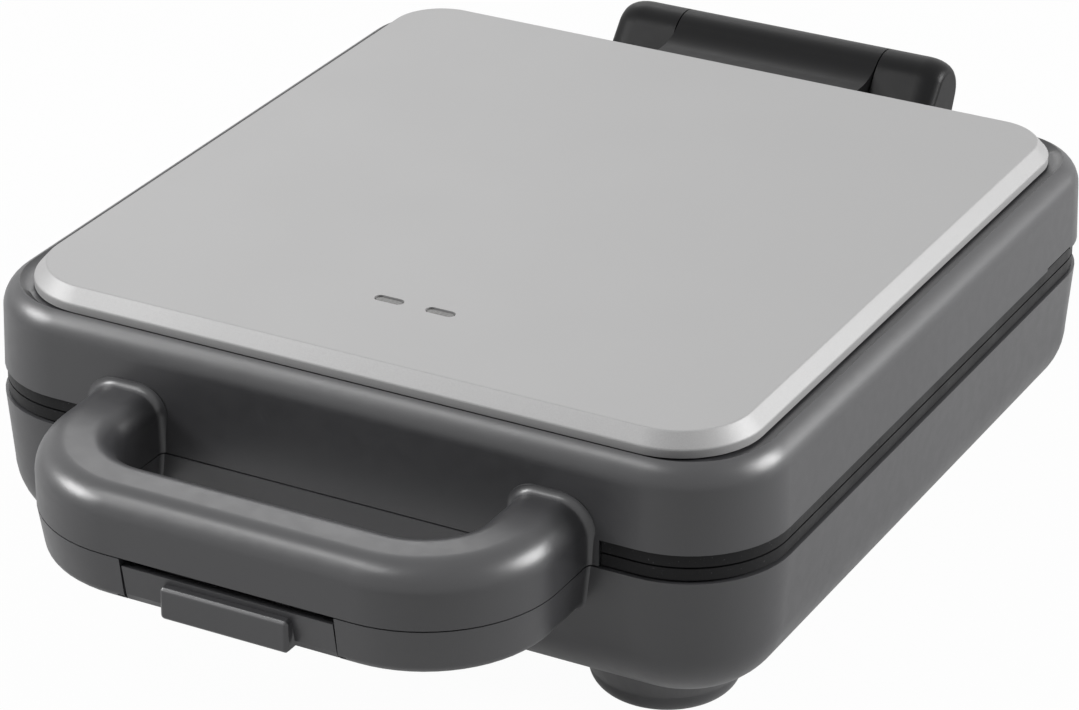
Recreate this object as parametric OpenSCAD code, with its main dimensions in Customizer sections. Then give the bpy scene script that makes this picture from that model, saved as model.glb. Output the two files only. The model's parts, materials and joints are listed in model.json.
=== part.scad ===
// Two-by-two waffle maker with a clamshell lid, a split U-shaped handle, a sprung
// front latch and a rear pin hinge. Millimetres, +Z up, handle towards -Y,
// origin on the table under the middle of the overall length.

/* [Body] */
// Width over the housings
body_w = 280; // [262:1:320]
// Depth of the housings, front wall to rear wall
body_d = 288; // [266:1:320]
// Height from the table to the flat of the top panel
body_h = 112; // [108:1:130]
// Plan radius of the two front corners
corner_front = 35; // [30:1:42]
// Plan radius of the lid's two rear corners
corner_rear = 28; // [26:1:40]
// Plan radius of the base's two rear corners
corner_base_rear = 30; // [26:1:40]
// Wall thickness of the moulded housings
wall = 2.8; // [2:0.1:3.4]

/* [Lid housing] */
// Drop from the panel's flat to the lid's lower edge
lid_edge_drop = 35; // [33:1:44]
// Drop from the panel's flat to the lid's rim round the panel
rim_drop = 5.3; // [5:0.1:6.4]
// Radius of the lid's top edge
lid_fillet = 10; // [7:0.5:12]
// Inward lean of the lid's walls, mm per mm of height
lid_draft = 0.03; // [0:0.01:0.06]
// Half-width of the front skirt that hides the plates between the handle roots
skirt_half = 92.5; // [91:0.5:100]
// Length of the steam notch near each rear corner
vent_len = 20; // [10:1:30]
// Height of the steam notch
vent_h = 0.9; // [0.8:0.1:2]

/* [Top panel] */
// Distance from the housing's side to the panel's edge
panel_gap_side = 11; // [10:0.5:14]
// Distance from the housing's front or rear to the panel's edge
panel_gap_end = 8.8; // [8:0.2:12]
// Width of the chamfer round the panel
chamfer_w = 4; // [3:0.5:6]
// Height of the chamfer round the panel
chamfer_h = 4.5; // [3:0.5:5]
// Height of the panel's upright edge under the chamfer
panel_side_h = 2.8; // [2:0.1:3.2]
// Sheet thickness of the panel
panel_t = 1.2; // [0.8:0.1:1.6]
// Plan radius of the panel's front corners
panel_corner_front = 28; // [24:1:32]
// Plan radius of the panel's rear corners
panel_corner_rear = 22; // [18:1:28]
// Gap between the panel's edge and the ledge round it
groove = 1.2; // [0.8:0.1:2]
// Distance from the housing's outside to the upper edge of the panel's recess
rim_w = 6.3; // [5.5:0.1:7]

/* [Lamps] */
// Length of a lamp window
lamp_len = 9.8; // [8:0.2:14]
// Width of a lamp window
lamp_w = 3.4; // [3:0.2:5]
// Distance of each lamp from the centre line
lamp_x = 9.3; // [8:0.1:20]
// Distance of the lamps from the panel's front edge
lamp_inset = 42.7; // [30:1:80]

/* [Cooking plates] */
// Thickness of each plate's visible rim
rim_t = 3.9; // [3:0.1:4.4]
// Gap between the closed plates' rims
plate_gap = 0.6; // [0.4:0.1:1]
// Inset of the plates' rims from the housings
rim_inset = 1; // [0.5:0.1:2]
// Width of one waffle
waffle_w = 110; // [90:1:112]
// Depth of one waffle
waffle_d = 114; // [90:1:118]
// Width of the wall between two waffles
divider = 6; // [4:1:8]
// Depth of each plate's well
well_h = 12; // [11:0.5:13]
// Thickness of the casting under a well
plate_t = 3; // [2.4:0.1:3.4]
// Distance between two pegs
peg_pitch = 21; // [18:1:26]
// Width of a peg at its root
peg_w = 10; // [7:0.5:12]
// Height of a peg
peg_h = 8.4; // [6:0.2:9]

/* [Heating] */
// Diameter of a heating rod
rod_d = 6.6; // [6:0.2:7]
// Bend radius of a heating rod, at its centre line
rod_bend = 26; // [18:1:32]
// Distance from a plate's back to its reflector's deck
shield_gap = 8.2; // [8:0.1:9]
// Sheet thickness of the reflectors
shield_t = 0.8; // [0.6:0.1:1]
// Thickness of the mineral-fibre pads
pad_t = 3; // [2:0.5:3.5]

/* [Base housing] */
// Inward lean of the base's walls, mm per mm of height
base_draft = 0.08; // [0.04:0.01:0.1]
// Radius of the base's bottom edge
base_fillet = 24.8; // [16:0.2:28]
// Gap between the base's top edge and the lower plate's rim
base_gap = 0.8; // [0.5:0.1:1.2]
// Height of the feet
foot_h = 19.2; // [16:0.2:20]
// Diameter of a foot at its top
foot_d = 62; // [44:1:64]
// Distance of each foot's centre from the housing's side
foot_inset_x = 50; // [46:1:70]
// Distance of each foot's centre from the housing's front or rear
foot_inset_y = 52; // [46:1:70]

/* [Handle] */
// Width over the handle
handle_w = 178; // [160:1:180]
// Reach of the handle in front of the housing
handle_reach = 64; // [56:1:75]
// Width of the handle's bar, seen from above
bar_w = 25.5; // [22:0.5:28]
// Outer plan radius of the handle's corners
handle_corner = 45; // [36:1:50]
// Drop from the panel's flat to the top of the handle
handle_drop = 24; // [22:1:28]
// Height of the handle's lower half
handle_low_h = 16; // [14.5:0.5:18]
// Radius of the handle's outer top edge
handle_r_out = 10; // [7:0.5:11]
// Radius of the handle's inner top edge
handle_r_in = 8; // [5:0.5:9]
// Radius of the flare where the handle meets the housing
root_flare = 3.5; // [2:0.5:5]
// Seam between the handle's halves
seam = 0.4; // [0.3:0.05:0.8]

/* [Latch] */
// Width of the latch plate
latch_w = 74.4; // [66:1:80]
// Width of the pull tab
tab_w = 45.2; // [30:0.2:56]
// How far the pull tab stands out in front of the handle
tab_out = 2; // [1:0.5:5]
// Slot above the latch plate that lets it tip
latch_top_gap = 2.4; // [2:0.1:3]
// Diameter of the latch pin
latch_pin_d = 3; // [2.5:0.1:3.4]
// Travel of the latch, degrees
latch_travel = 15; // [10:1:16]

/* [Hinge] */
// Distance of the hinge axis behind the housings
hinge_back = 35.6; // [32:0.2:44]
// Drop from the panel's flat to the hinge axis
hinge_drop = 16.7; // [14:0.1:18]
// Radius of the hinge barrel
hinge_r = 12; // [10:0.5:13]
// Length of the lid's barrel
barrel_w = 80; // [70:1:100]
// Length of each of the base's knuckles
knuckle_w = 24.5; // [20:0.5:32]
// Side play between the barrel and a knuckle
side_play = 0.5; // [0.3:0.1:1]
// Diameter of the hinge pin
pin_d = 6; // [5:0.5:8]
// Running clearance on radius of every pin in its bore
pin_play = 0.05; // [0.02:0.01:0.08]
// Drop from the panel's flat to the top of the lid's hinge arm
arm_drop = 11.5; // [11:0.5:14]

/* [Cord inlet] */
// Bore of the cord bush
inlet_bore = 7.6; // [6:0.2:10]
// Distance from the housing's side to the cord inlet
inlet_side = 48; // [44:1:56]

/* [Screws] */
// Thread diameter of the large screws
screw_d = 4; // [3:0.5:4.5]
// Thread diameter of the small screws
small_screw_d = 3; // [2.5:0.5:3.5]

/* [Hidden] */

// Finishes
charcoal = "#4a4a4c";
black = "#232325";
silver = "#c4c4c3";
cast_dark = "#38383a";
steel = "#a8a9ab";
galvanised = "#b9bcbd";
fibre = "#e6e2d6";
rubber = "#1c1c1c";
brass = "#b49a5a";
lens_grey = "#b8b6b0";
wire_white = "#dcd8cc";

// Small allowances used all through
cut = 1;              // overshoot of a cutting shape
touch = 0.1;          // gap left where a curved face sits against another
fit_gap = 0.4;        // gap round a drop-in cover or lens
slice = 0.02;         // thickness of one section of a lofted shell
head_t = 2;           // height of a screw head
fillet_steps = 7;     // sections along a rounded edge

// Places along Y, from the housings' middle
front_y = -body_d/2;
rear_y = body_d/2;
handle_y = front_y - handle_reach;
hinge_y = rear_y + hinge_back;
overall_front = handle_y - tab_out;
overall_rear = hinge_y + hinge_r;
body_y = -(overall_front + overall_rear)/2;

// Heights
lid_z = body_h - lid_edge_drop;                // lid's lower edge
rim_z = body_h - rim_drop;                     // top of the lid's rounded edge
seat_gap = 0.3;                                // between the lid's edge and the upper plate's rim
up_rim_z = lid_z - seat_gap - rim_t;           // lower face of the upper rim
low_rim_z = up_rim_z - plate_gap - rim_t;      // lower face of the lower rim
base_z1 = low_rim_z - base_gap;                // top edge of the base
skirt_z = base_z1 + seam;                      // lower edge of the skirt and of the upper handle
base_z0 = foot_h;                              // underside of the base
handle_z1 = body_h - handle_drop;              // top of the handle
handle_z0 = base_z1 - handle_low_h;            // bottom of the handle
hinge_z = body_h - hinge_drop;
panel_z0 = body_h - chamfer_h - panel_side_h;  // lower edge of the panel
recess_z = panel_z0 - 0.7;                     // floor of the recess that holds the panel
ledge_h = 1.6;                                 // rise of the ledge
deck_z = body_h - panel_t;                     // top of the deck that carries the panel
deck_t = 2.5;
recess_t = 2.8;
floor_lap = 3;                                 // how far the recess's floor runs into the wall round it

// Panel
panel_w = body_w - 2*panel_gap_side;
panel_d = body_d - 2*panel_gap_end;
deck_inset = chamfer_w + panel_t + 0.8;        // from the panel's edge to the deck's edge
lamp_y = -panel_d/2 + lamp_inset;

// Plates
pan_wall = 3;
cook_w = 2*waffle_w + divider;
cook_d = 2*waffle_d + divider;
pan_w = cook_w + 2*pan_wall;
pan_d = cook_d + 2*pan_wall;
well_r = 7;
skirt_clear = 0.6;
up_well_z = up_rim_z + well_h;
up_back_z = up_well_z + plate_t;
low_well_z = low_rim_z + rim_t - well_h;
low_back_z = low_well_z - plate_t;
lug_d = 9;
lug_h = 8;
lug_x = (pan_w/2 + body_w/2 - wall - rim_inset)/2;
lug_y = waffle_d*0.62;
lugs = [[-lug_x, -lug_y], [lug_x, -lug_y], [-lug_x, lug_y], [lug_x, lug_y]];

// Reflectors
shield_w = body_w - 2*(wall + 3.2);
shield_gap_y = wall + 6;                       // from the housings' front or rear to a reflector's edge
shield_d = body_d - 2*shield_gap_y;
dish_w = pan_w + 6;
dish_d = pan_d + 6;
dish_r = 16;
up_flange_z = up_rim_z + rim_t + lug_h;        // lower face of the upper reflector's flange
up_shield_z = up_back_z + shield_gap;          // lower face of its deck
low_flange_z = low_rim_z - lug_h;              // upper face of the lower reflector's flange
low_shield_z = low_back_z - shield_gap;        // upper face of its deck
post_d = 9;
post_x = 54;
post_y = 84;
posts = [[-post_x, -post_y], [post_x, -post_y], [-post_x, post_y], [post_x, post_y]];

// Heating rods
rod_r = rod_d/2;
rod_lift = 0.15;                               // gap under a rod
rod_x = waffle_w*0.56;
rod_y = waffle_d*0.62;
up_rod_z = up_back_z + rod_lift + rod_r;
low_rod_z = low_back_z - rod_lift - rod_r;
terminal_x = 22;                               // rod ends, from the centre line
terminal_len = 16;
clamp_w = 22;
clamp_l = 10;
clamp_t = 1.2;

// Feet
foot_x = body_w/2 - foot_inset_x;
foot_y = body_d/2 - foot_inset_y;
feet = [[-1, -1], [1, -1], [-1, 1], [1, 1]];
foot_round = 7.5;
foot_taper = 6.4;
pad_d = 28;
pad_h = 3;
pad_proud = 0.7;

// Handle
arm_x = handle_w/2;
corner_x = arm_x - handle_corner;
corner_y = handle_y + handle_corner;
root_y = front_y + 3;                          // where the bar ends inside the housing's wall
low_draft = 2.4;                               // lean of the lower half's faces
low_edge = 3;                                  // radius-like bevel of its bottom edge
cover_t = 1.8;
cover_inset = 0.5;                             // follows the lower half's lean

// Latch
latch_z1 = base_z1 - latch_top_gap;
latch_t = 2.5;
latch_x = latch_w/2;
latch_gap = 0.4;
pivot_y = handle_y + 8.5;
pivot_z = base_z1 - 5.5;
sleeve_r = 3;
lug_w = 6;
rib_t = 2.5;
rib_x = latch_x + latch_gap;
stem_w = 20;
stem_t = 3;
hook_z0 = base_z1 + 4.8;                       // underside of the hook's nose
hook_t = 2.6;
nose_l = 2.2;
catch_w = 36;
catch_t = 0.8;
catch_gap = 0.4;
slot_half = stem_w/2 + 1.5;
slot_y0 = pivot_y - 4.4;
slot_y1 = pivot_y + 5;
tab_z1 = latch_z1 - 2.4;
tab_z0 = handle_z0 + 0.2;
tab_soft = 1;                                  // bevel round its face

// Hinge
knuckle_x0 = barrel_w/2 + side_play;
knuckle_x1 = knuckle_x0 + knuckle_w;
knuckle_round = 4.5;                           // of its outer end, seen along the axis
knuckle_end = 9;                               // and seen from above
leg_z0 = base_z0 + base_fillet + 2;
leg_z1 = base_z1 - 5;
leg_depth = 28;
pin_cap = 8;                                   // solid end of a knuckle beyond the pin
pin_reach = knuckle_w - pin_cap;
pin_r = pin_d/2;
arm_z0 = hinge_z - hinge_r;
arm_z1 = body_h - arm_drop;
wall_screw_z = (leg_z0 + leg_z1)/2;
barrel_screw_z = (arm_z0 + arm_z1)/2;
barrel_screw_x = [-30, -12, 12, 30];

// Cord inlet and electrics
inlet_z = wall_screw_z;
inlet_r = inlet_bore/2;
bush_r = inlet_r + 3;
flange_r = inlet_r + 6;
inlet_x = body_w/2 - inlet_side;
block_x = 12 - inlet_x;
block_y = body_d/2 - 82;
block_room = 1;                                // clearance round and above the block
block_w = 36;
block_d = 18;
block_h = 14;
floor_z = base_z0 + wall;
wire_d = 2.6;
lead_x = 9;                                    // leads pass the reflectors here
lead_hole = 6;

// ---------- helpers ----------

// Rounded rectangle with one radius at the front corners and one at the rear
module rrect(w, d, rf, rr) {
    translate([-w/2 + rf, -d/2]) square([w - 2*rf, d/2]);
    translate([-w/2 + rr, 0]) square([w - 2*rr, d/2]);
    translate([-w/2, -d/2 + rf]) square([w, d - rf - rr]);
    for (s = [-1, 1]) {
        translate([s*(w/2 - rf), -d/2 + rf]) circle(rf);
        translate([s*(w/2 - rr), d/2 - rr]) circle(rr);
    }
}

// Smooth convex shell through sections given as [height, inset] or [height, inset, upright stretch]
module loft(w, d, rf, rr, sections) {
    hull() for (s = sections)
        translate([0, 0, s[0]]) linear_extrude(len(s) > 2 ? s[2] : slice)
            rrect(w - 2*s[1], d - 2*s[1], max(rf - s[1], 2), max(rr - s[1], 2), $fn = 32);
}

// Straight round bar from p to q
module bar(p, q, d) {
    v = q - p;
    len = norm(v);
    translate(p) rotate([0, acos(v[2]/len), atan2(v[1], v[0])]) cylinder(h = len, d = d, $fn = 24);
}

// Round wire through a list of points
module wire(points, d = wire_d) {
    for (i = [0:len(points) - 2]) bar(points[i], points[i + 1], d);
    for (i = [1:len(points) - 2]) translate(points[i]) sphere(d = d*1.1, $fn = 32);
}

// Slot with round ends, along X
module obround(l, w) {
    square([l - w, w], center = true);
    for (s = [-1, 1]) translate([s*(l - w)/2, 0]) circle(w/2, $fn = 40);
}

// Pan-head screw pointing up from its head, head's lower face at z = 0
module screw(d, len) {
    cylinder(h = head_t, d = d*1.9, $fn = 32);
    translate([0, 0, head_t]) cylinder(h = len, d = d, $fn = 32);
}

// The part is drawn about the housings' middle and then moved onto its origin
module in_place() {
    translate([0, body_y, 0]) children();
}

// Copies for the left and right side
module both_sides() {
    children();
    mirror([1, 0, 0]) children();
}

// Solids of the lid's and the base's outer form, grown by g
function lid_sections(g, z0) = concat(
    [[z0, (z0 - skirt_z)*lid_draft - g]],
    [for (i = [0:fillet_steps]) let(a = 90*i/fillet_steps)
        [rim_z - lid_fillet + (lid_fillet + g)*sin(a),
         (rim_z - lid_fillet - skirt_z)*lid_draft + lid_fillet - (lid_fillet + g)*cos(a)]]
);

function base_sections(g, z1) = concat(
    [[z1, (base_z1 - z1)*base_draft - g]],
    [for (i = [0:fillet_steps]) let(a = 90*i/fillet_steps)
        [base_z0 + base_fillet - (base_fillet + g)*sin(a),
         (base_z1 - base_z0 - base_fillet)*base_draft + base_fillet - (base_fillet + g)*cos(a)]]
);

module lid_form(g = 0, z0 = skirt_z) {
    loft(body_w, body_d, corner_front, corner_rear, lid_sections(g, z0));
}

module base_form(g = 0, z1 = base_z1) {
    loft(body_w, body_d, corner_front, corner_base_rear, base_sections(g, z1));
}

// Plan outline measured from the panel's edge, outwards
module panel_outline(g) {
    rrect(panel_w + 2*g, panel_d + 2*g, panel_corner_front + g, panel_corner_rear + g);
}

// ---------- handle sections and sweep ----------

// Upper half: upright faces, both top edges rounded; x runs inwards from the outer face
module upper_bar_section(b, z0, z1, ro, ri) {
    intersection() {
        translate([0, z0]) square([b, z1 - z0]);
        union() {
            translate([0, z0]) square([b/2, z1 - ro - z0]);
            translate([b/2, z0]) square([b/2, z1 - ri - z0]);
            translate([ro, z0]) square([b - ro - ri, z1 - z0]);
            translate([ro, z1 - ro]) circle(ro, $fn = 48);
            translate([b - ri, z1 - ri]) circle(ri, $fn = 48);
        }
    }
}

// Lower half: both faces lean inwards, bottom edges bevelled in two steps
module lower_bar_section(b, z0, z1, lean, edge) {
    polygon([
        [0, z1], [lean, z0 + edge], [lean + edge*0.3, z0 + edge*0.3], [lean + edge, z0],
        [b - lean - edge, z0], [b - lean - edge*0.3, z0 + edge*0.3], [b - lean, z0 + edge], [b, z1]
    ]);
}

// Sweeps a section round the handle: two arms, two corners and the front bar
module handle_sweep(inset = 0, back = root_y) {
    r = handle_corner - inset;
    translate([-corner_x, handle_y + inset, 0]) rotate([90, 0, 90]) linear_extrude(2*corner_x) children();
    both_sides() {
        translate([corner_x, corner_y, 0]) rotate([0, 0, 270])
            rotate_extrude(angle = 90, $fn = 96) translate([r, 0]) mirror([1, 0]) children();
        translate([-arm_x + inset, back, 0]) rotate([90, 0, 0])
            linear_extrude(back - corner_y) children();
    }
}

// ---------- lid ----------

module root_flares(z0, z1) {
    both_sides() hull() {
        translate([arm_x - bar_w/2, front_y + touch, (z0 + z1)/2])
            cube([bar_w + 2*root_flare, slice, z1 - z0], center = true);
        translate([arm_x - bar_w/2, front_y - root_flare, (z0 + z1)/2])
            cube([bar_w, slice, z1 - z0], center = true);
    }
}

module upper_root_flares() {
    both_sides() hull() for (s = [[front_y + touch, root_flare], [front_y - root_flare*0.4, root_flare*0.35],
                                  [front_y - root_flare, 0]])
        translate([arm_x + s[1], s[0], 0]) rotate([90, 0, 0]) mirror([1, 0, 0]) linear_extrude(slice)
            upper_bar_section(bar_w + 2*s[1], skirt_z, handle_z1 + s[1], handle_r_out + s[1],
                              handle_r_in + s[1], $fn = 32);
}

module lamp_windows(grow, z0, z1) {
    for (s = [-1, 1]) translate([s*lamp_x, lamp_y, z0]) linear_extrude(z1 - z0)
        obround(lamp_len + 2*grow, lamp_w + 2*grow);
}

module plate_band_cut() {
    difference() {
        translate([-body_w, -body_d, skirt_z - cut]) cube([2*body_w, 2*body_d, lid_z - skirt_z + cut]);
        translate([-skirt_half, -body_d - cut, skirt_z - 2*cut])
            cube([2*skirt_half, body_d - corner_front/2, lid_z - skirt_z + 4*cut]);
    }
}

// Recess for the panel: a narrow floor round it, then a ledge that slopes up to the rim
module recess() {
    hull() {
        translate([0, 0, recess_z]) linear_extrude(slice) panel_outline(groove, $fn = 64);
        translate([0, 0, recess_z + ledge_h]) linear_extrude(rim_drop + cut)
            rrect(body_w - 2*rim_w, body_d - 2*rim_w, corner_front - rim_w, corner_rear - rim_w, $fn = 64);
    }
}

module upper_housing() {
    color(charcoal) in_place() difference() {
        union() {
            difference() {
                union() {
                    lid_form();
                    handle_sweep() upper_bar_section(bar_w, skirt_z, handle_z1, handle_r_out, handle_r_in);
                    upper_root_flares();
                }
                plate_band_cut();
                recess();
                // hollow of the lid
                lid_form(-wall, skirt_z - cut);
                handle_sweep(wall, front_y - root_flare)
                    upper_bar_section(bar_w - 2*wall, skirt_z - cut, handle_z1 - wall,
                                      handle_r_out - wall, handle_r_in - wall);
            }
            // floor of the recess, the raised deck and its upright edge
            translate([0, 0, recess_z - recess_t]) linear_extrude(recess_t)
                panel_outline(groove + floor_lap, $fn = 96);
            translate([0, 0, recess_z - cut]) linear_extrude(deck_z - recess_z + cut)
                panel_outline(-deck_inset, $fn = 96);
            // posts for the reflector
            for (p = posts) translate([p[0], p[1], up_shield_z + shield_t])
                cylinder(h = recess_z - up_shield_z - shield_t, d = post_d, $fn = 40);
        }
        translate([0, 0, recess_z - recess_t - cut])
            linear_extrude(deck_z - deck_t - recess_z + recess_t + cut)
            difference() {
                panel_outline(-deck_inset - wall, $fn = 96);
                for (p = posts) translate(p) circle(d = post_d, $fn = 40);
            }
        lamp_windows(fit_gap, deck_z - deck_t - cut, deck_z + cut);
        for (p = posts) translate([p[0], p[1], up_shield_z - cut])
            cylinder(h = cut + 9, d = small_screw_d + 2*touch, $fn = 32);
        // steam notches in the lower edge
        both_sides() translate([body_w/2 - wall - 2*cut, rear_y - 49, lid_z - cut])
            cube([wall + 4*cut, vent_len, vent_h + cut]);
        // holes for the catch's screws
        for (s = [-1, 1]) translate([s*catch_screw_x, catch_y - catch_hold, catch_screw_z])
            rotate([-90, 0, 0])
            cylinder(h = catch_hold + cut, d = small_screw_d, $fn = 32);
        // holes for the hinge arm's screws
        for (x = barrel_screw_x) translate([x, rear_y - 2*wall - cut, barrel_screw_z]) rotate([-90, 0, 0])
            cylinder(h = 3*wall, d = screw_d + 4*touch, $fn = 32);
    }
}

// Thin closing piece let into the open side of a handle half
module handle_cover_section(b, z0) {
    translate([0, z0]) square([b, cover_t]);
}

module stem_slot(z0, z1) {
    translate([-slot_half, slot_y0, z0]) cube([2*slot_half, slot_y1 - slot_y0, z1 - z0]);
}

module upper_handle_cover() {
    color(charcoal) in_place() difference() {
        handle_sweep(wall, front_y - root_flare) handle_cover_section(bar_w - 2*wall, skirt_z + seam);
        stem_slot(skirt_z - cut, skirt_z + cover_t + 2*cut);
    }
}

module top_panel() {
    color(silver) in_place() difference() {
        loft(panel_w, panel_d, panel_corner_front, panel_corner_rear,
             [[panel_z0, 0, panel_side_h], [body_h - slice, chamfer_w]]);
        loft(panel_w, panel_d, panel_corner_front, panel_corner_rear,
             [[panel_z0 - cut, panel_t, panel_side_h + cut - panel_t*0.4],
              [deck_z - slice, chamfer_w + panel_t*0.6]]);
        lamp_windows(fit_gap/2, deck_z - cut, body_h + cut);
    }
}

module lens(x) {
    in_place() translate([x, lamp_y, 0]) {
        translate([0, 0, deck_z - deck_t]) linear_extrude(body_h - 0.4 - deck_z + deck_t)
            obround(lamp_len, lamp_w);
        translate([0, 0, deck_z - deck_t - 1.5]) linear_extrude(1.5) obround(lamp_len + 4, lamp_w + 4);
    }
}

module power_lens() {
    color(lens_grey) lens(-lamp_x);
}

module ready_lens() {
    color(lens_grey) lens(lamp_x);
}

lamp_stem = 3.6;
holder_z = recess_z - recess_t + 0.5;

module lamp_holder() {
    color("white") in_place() {
        difference() {
            translate([0, lamp_y, holder_z + 0.6]) cube([2*lamp_x + 34, 15, 1.2], center = true);
            for (s = [-1, 1]) translate([s*lamp_x, lamp_y, holder_z - cut])
                cylinder(h = 3*cut, d = 3, $fn = 32);
        }
        // two legs that reach the underside of the deck
        for (s = [-1, 1]) translate([s*(lamp_x + 13), lamp_y, holder_z + 1.2])
            cylinder(h = deck_z - deck_t - holder_z - 1.2, d = 6, $fn = 32);
    }
}

module neon_lamps() {
    color("orange") in_place() for (s = [-1, 1]) translate([s*lamp_x, lamp_y, holder_z + 1.2]) {
        cylinder(h = lamp_stem - 1.6, d = 5, $fn = 32);
        translate([0, 0, lamp_stem - 1.6]) sphere(d = 3, $fn = 32);
    }
}

// ---------- plates ----------

// Outline of a plate's rim, stepped back behind the lid's skirt at the front
module rim_outline() {
    difference() {
        rrect(body_w - 2*rim_inset, body_d - 2*rim_inset,
              corner_front - rim_inset, corner_base_rear - rim_inset,
              $fn = 96);
        translate([-skirt_half - skirt_clear, front_y - cut])
            square([2*(skirt_half + skirt_clear), wall + skirt_clear + cut]);
    }
}

module pan_outline(g) {
    rrect(pan_w + 2*g, pan_d + 2*g, well_r + pan_wall, well_r + pan_wall, $fn = 48);
}

module each_waffle() {
    for (sx = [-1, 1]) for (sy = [-1, 1])
        translate([sx*(waffle_w + divider)/2, sy*(waffle_d + divider)/2, 0]) children();
}

peg_nx = floor((waffle_w - peg_w)/peg_pitch);
peg_ny = floor((waffle_d - peg_w)/peg_pitch);

// Pegs of one waffle, standing on z = 0
module pegs() {
    for (i = [0:peg_nx - 1]) for (j = [0:peg_ny - 1])
        translate([(i - (peg_nx - 1)/2)*peg_pitch, (j - (peg_ny - 1)/2)*peg_pitch, -touch])
            linear_extrude(peg_h + touch, scale = 0.72) square(peg_w, center = true);
}

// Plate with its rim at the bottom of the drawing and its pan upwards
module plate_shape(rim_z0, well_z) {
    difference() {
        union() {
            translate([0, 0, rim_z0]) linear_extrude(rim_t) rim_outline();
            translate([0, 0, rim_z0]) linear_extrude(well_z + plate_t - rim_z0) pan_outline(0);
            for (p = lugs) translate([p[0], p[1], rim_z0 + rim_t])
                cylinder(h = lug_h, d = lug_d, $fn = 40);
        }
        each_waffle() translate([0, 0, rim_z0 - cut]) linear_extrude(well_z - rim_z0 + cut)
            rrect(waffle_w, waffle_d, well_r, well_r, $fn = 48);
        for (p = lugs) translate([p[0], p[1], rim_z0 + rim_t + lug_h - 7])
            cylinder(h = 7 + cut, d = small_screw_d + 2*touch, $fn = 32);
    }
    each_waffle() translate([0, 0, well_z]) mirror([0, 0, 1]) pegs();
}

// Turns a shape drawn for the lid over for the base, about the parting plane
parting_z = up_rim_z - plate_gap/2;
module for_base() {
    translate([0, 0, 2*parting_z]) mirror([0, 0, 1]) children();
}

module upper_plate() {
    color(cast_dark) in_place() plate_shape(up_rim_z, up_well_z);
}

module lower_plate() {
    color(cast_dark) in_place() for_base() plate_shape(up_rim_z, up_well_z);
}

// Heating rod: a loop with its two ends at the rear
module element_shape() {
    for (s = [-1, 1]) {
        bar([s*rod_x, -rod_y + rod_bend, up_rod_z], [s*rod_x, rod_y - rod_bend, up_rod_z], rod_d);
        bar([s*(rod_x - rod_bend), rod_y, up_rod_z], [s*terminal_x, rod_y, up_rod_z], rod_d);
        translate([s*(rod_x - rod_bend), -rod_y + rod_bend, up_rod_z]) rotate([0, 0, s > 0 ? 270 : 180])
            rotate_extrude(angle = 90, $fn = 64) translate([rod_bend, 0]) circle(rod_r, $fn = 32);
        translate([s*(rod_x - rod_bend), rod_y - rod_bend, up_rod_z]) rotate([0, 0, s > 0 ? 0 : 90])
            rotate_extrude(angle = 90, $fn = 64) translate([rod_bend, 0]) circle(rod_r, $fn = 32);
        // cold end and its spade terminal
        bar([s*terminal_x, rod_y, up_rod_z], [s*(terminal_x - terminal_len), rod_y, up_rod_z], rod_d*0.45);
    }
    bar([-rod_x + rod_bend, -rod_y, up_rod_z], [rod_x - rod_bend, -rod_y, up_rod_z], rod_d);
}

module upper_element() {
    color(steel) in_place() element_shape();
}

module lower_element() {
    color(steel) in_place() for_base() element_shape();
}

// Saddle clamps over the rod, seated on the plate's back
clamp_spots = [[-rod_x, -20, 0], [rod_x, -20, 0], [-20, -rod_y, 90], [20, -rod_y, 90]];
module clamp_shape() {
    for (c = clamp_spots) translate([c[0], c[1], up_back_z]) rotate([0, 0, c[2]]) difference() {
        union() {
            translate([-clamp_w/2, -clamp_l/2, 0]) cube([clamp_w, clamp_l, clamp_t]);
            translate([-rod_r - clamp_t, -clamp_l/2, 0])
                cube([rod_d + 2*clamp_t, clamp_l, rod_d + rod_lift - 0.4]);
        }
        translate([0, clamp_l, rod_r + rod_lift]) rotate([90, 0, 0])
            cylinder(h = 2*clamp_l, r = rod_r + touch, $fn = 40);
        translate([-rod_r - touch, -clamp_l, -cut])
            cube([rod_d + 2*touch, 2*clamp_l, rod_r + rod_lift + cut]);
    }
}

module upper_element_clamps() {
    color(galvanised) in_place() clamp_shape();
}

module lower_element_clamps() {
    color(galvanised) in_place() for_base() clamp_shape();
}

// Reflector: a dished sheet with a flange screwed to the plate's lugs
module shield_shape(hole_d) {
    difference() {
        union() {
            translate([0, 0, up_flange_z]) linear_extrude(shield_t)
                rrect(shield_w, shield_d, corner_front - wall - 3, corner_rear - wall - 3, $fn = 48);
            translate([0, 0, up_flange_z]) linear_extrude(up_shield_z + shield_t - up_flange_z)
                rrect(dish_w, dish_d, dish_r, dish_r, $fn = 48);
        }
        translate([0, 0, up_flange_z - cut]) linear_extrude(up_shield_z - up_flange_z + cut)
            rrect(dish_w - 2*shield_t, dish_d - 2*shield_t, dish_r - shield_t, dish_r - shield_t, $fn = 48);
        for (p = lugs) translate([p[0], p[1], up_flange_z - cut])
            cylinder(h = shield_t + 2*cut, d = small_screw_d + 4*touch, $fn = 32);
        for (p = posts) translate([p[0], p[1], up_shield_z - cut])
            cylinder(h = shield_t + 2*cut, d = hole_d, $fn = 32);
        for (s = [-1, 1]) translate([s*lead_x, rod_y, up_shield_z - cut])
            cylinder(h = shield_t + 2*cut, d = lead_hole, $fn = 32);
    }
}

module upper_heat_shield() {
    color(galvanised) in_place() shield_shape(small_screw_d + 4*touch);
}

module lower_heat_shield() {
    color(galvanised) in_place() difference() {
        for_base() shield_shape(screw_d + 4*touch);
        // room for the bush's inner end where a deeper dish would reach it
        translate([-inlet_x, rear_y + bush_out - bush_len - fit_gap + touch, inlet_z]) rotate([-90, 0, 0])
            cylinder(h = bush_len, r = bush_r + bush_nut + fit_gap, $fn = 64);
    }
}

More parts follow.
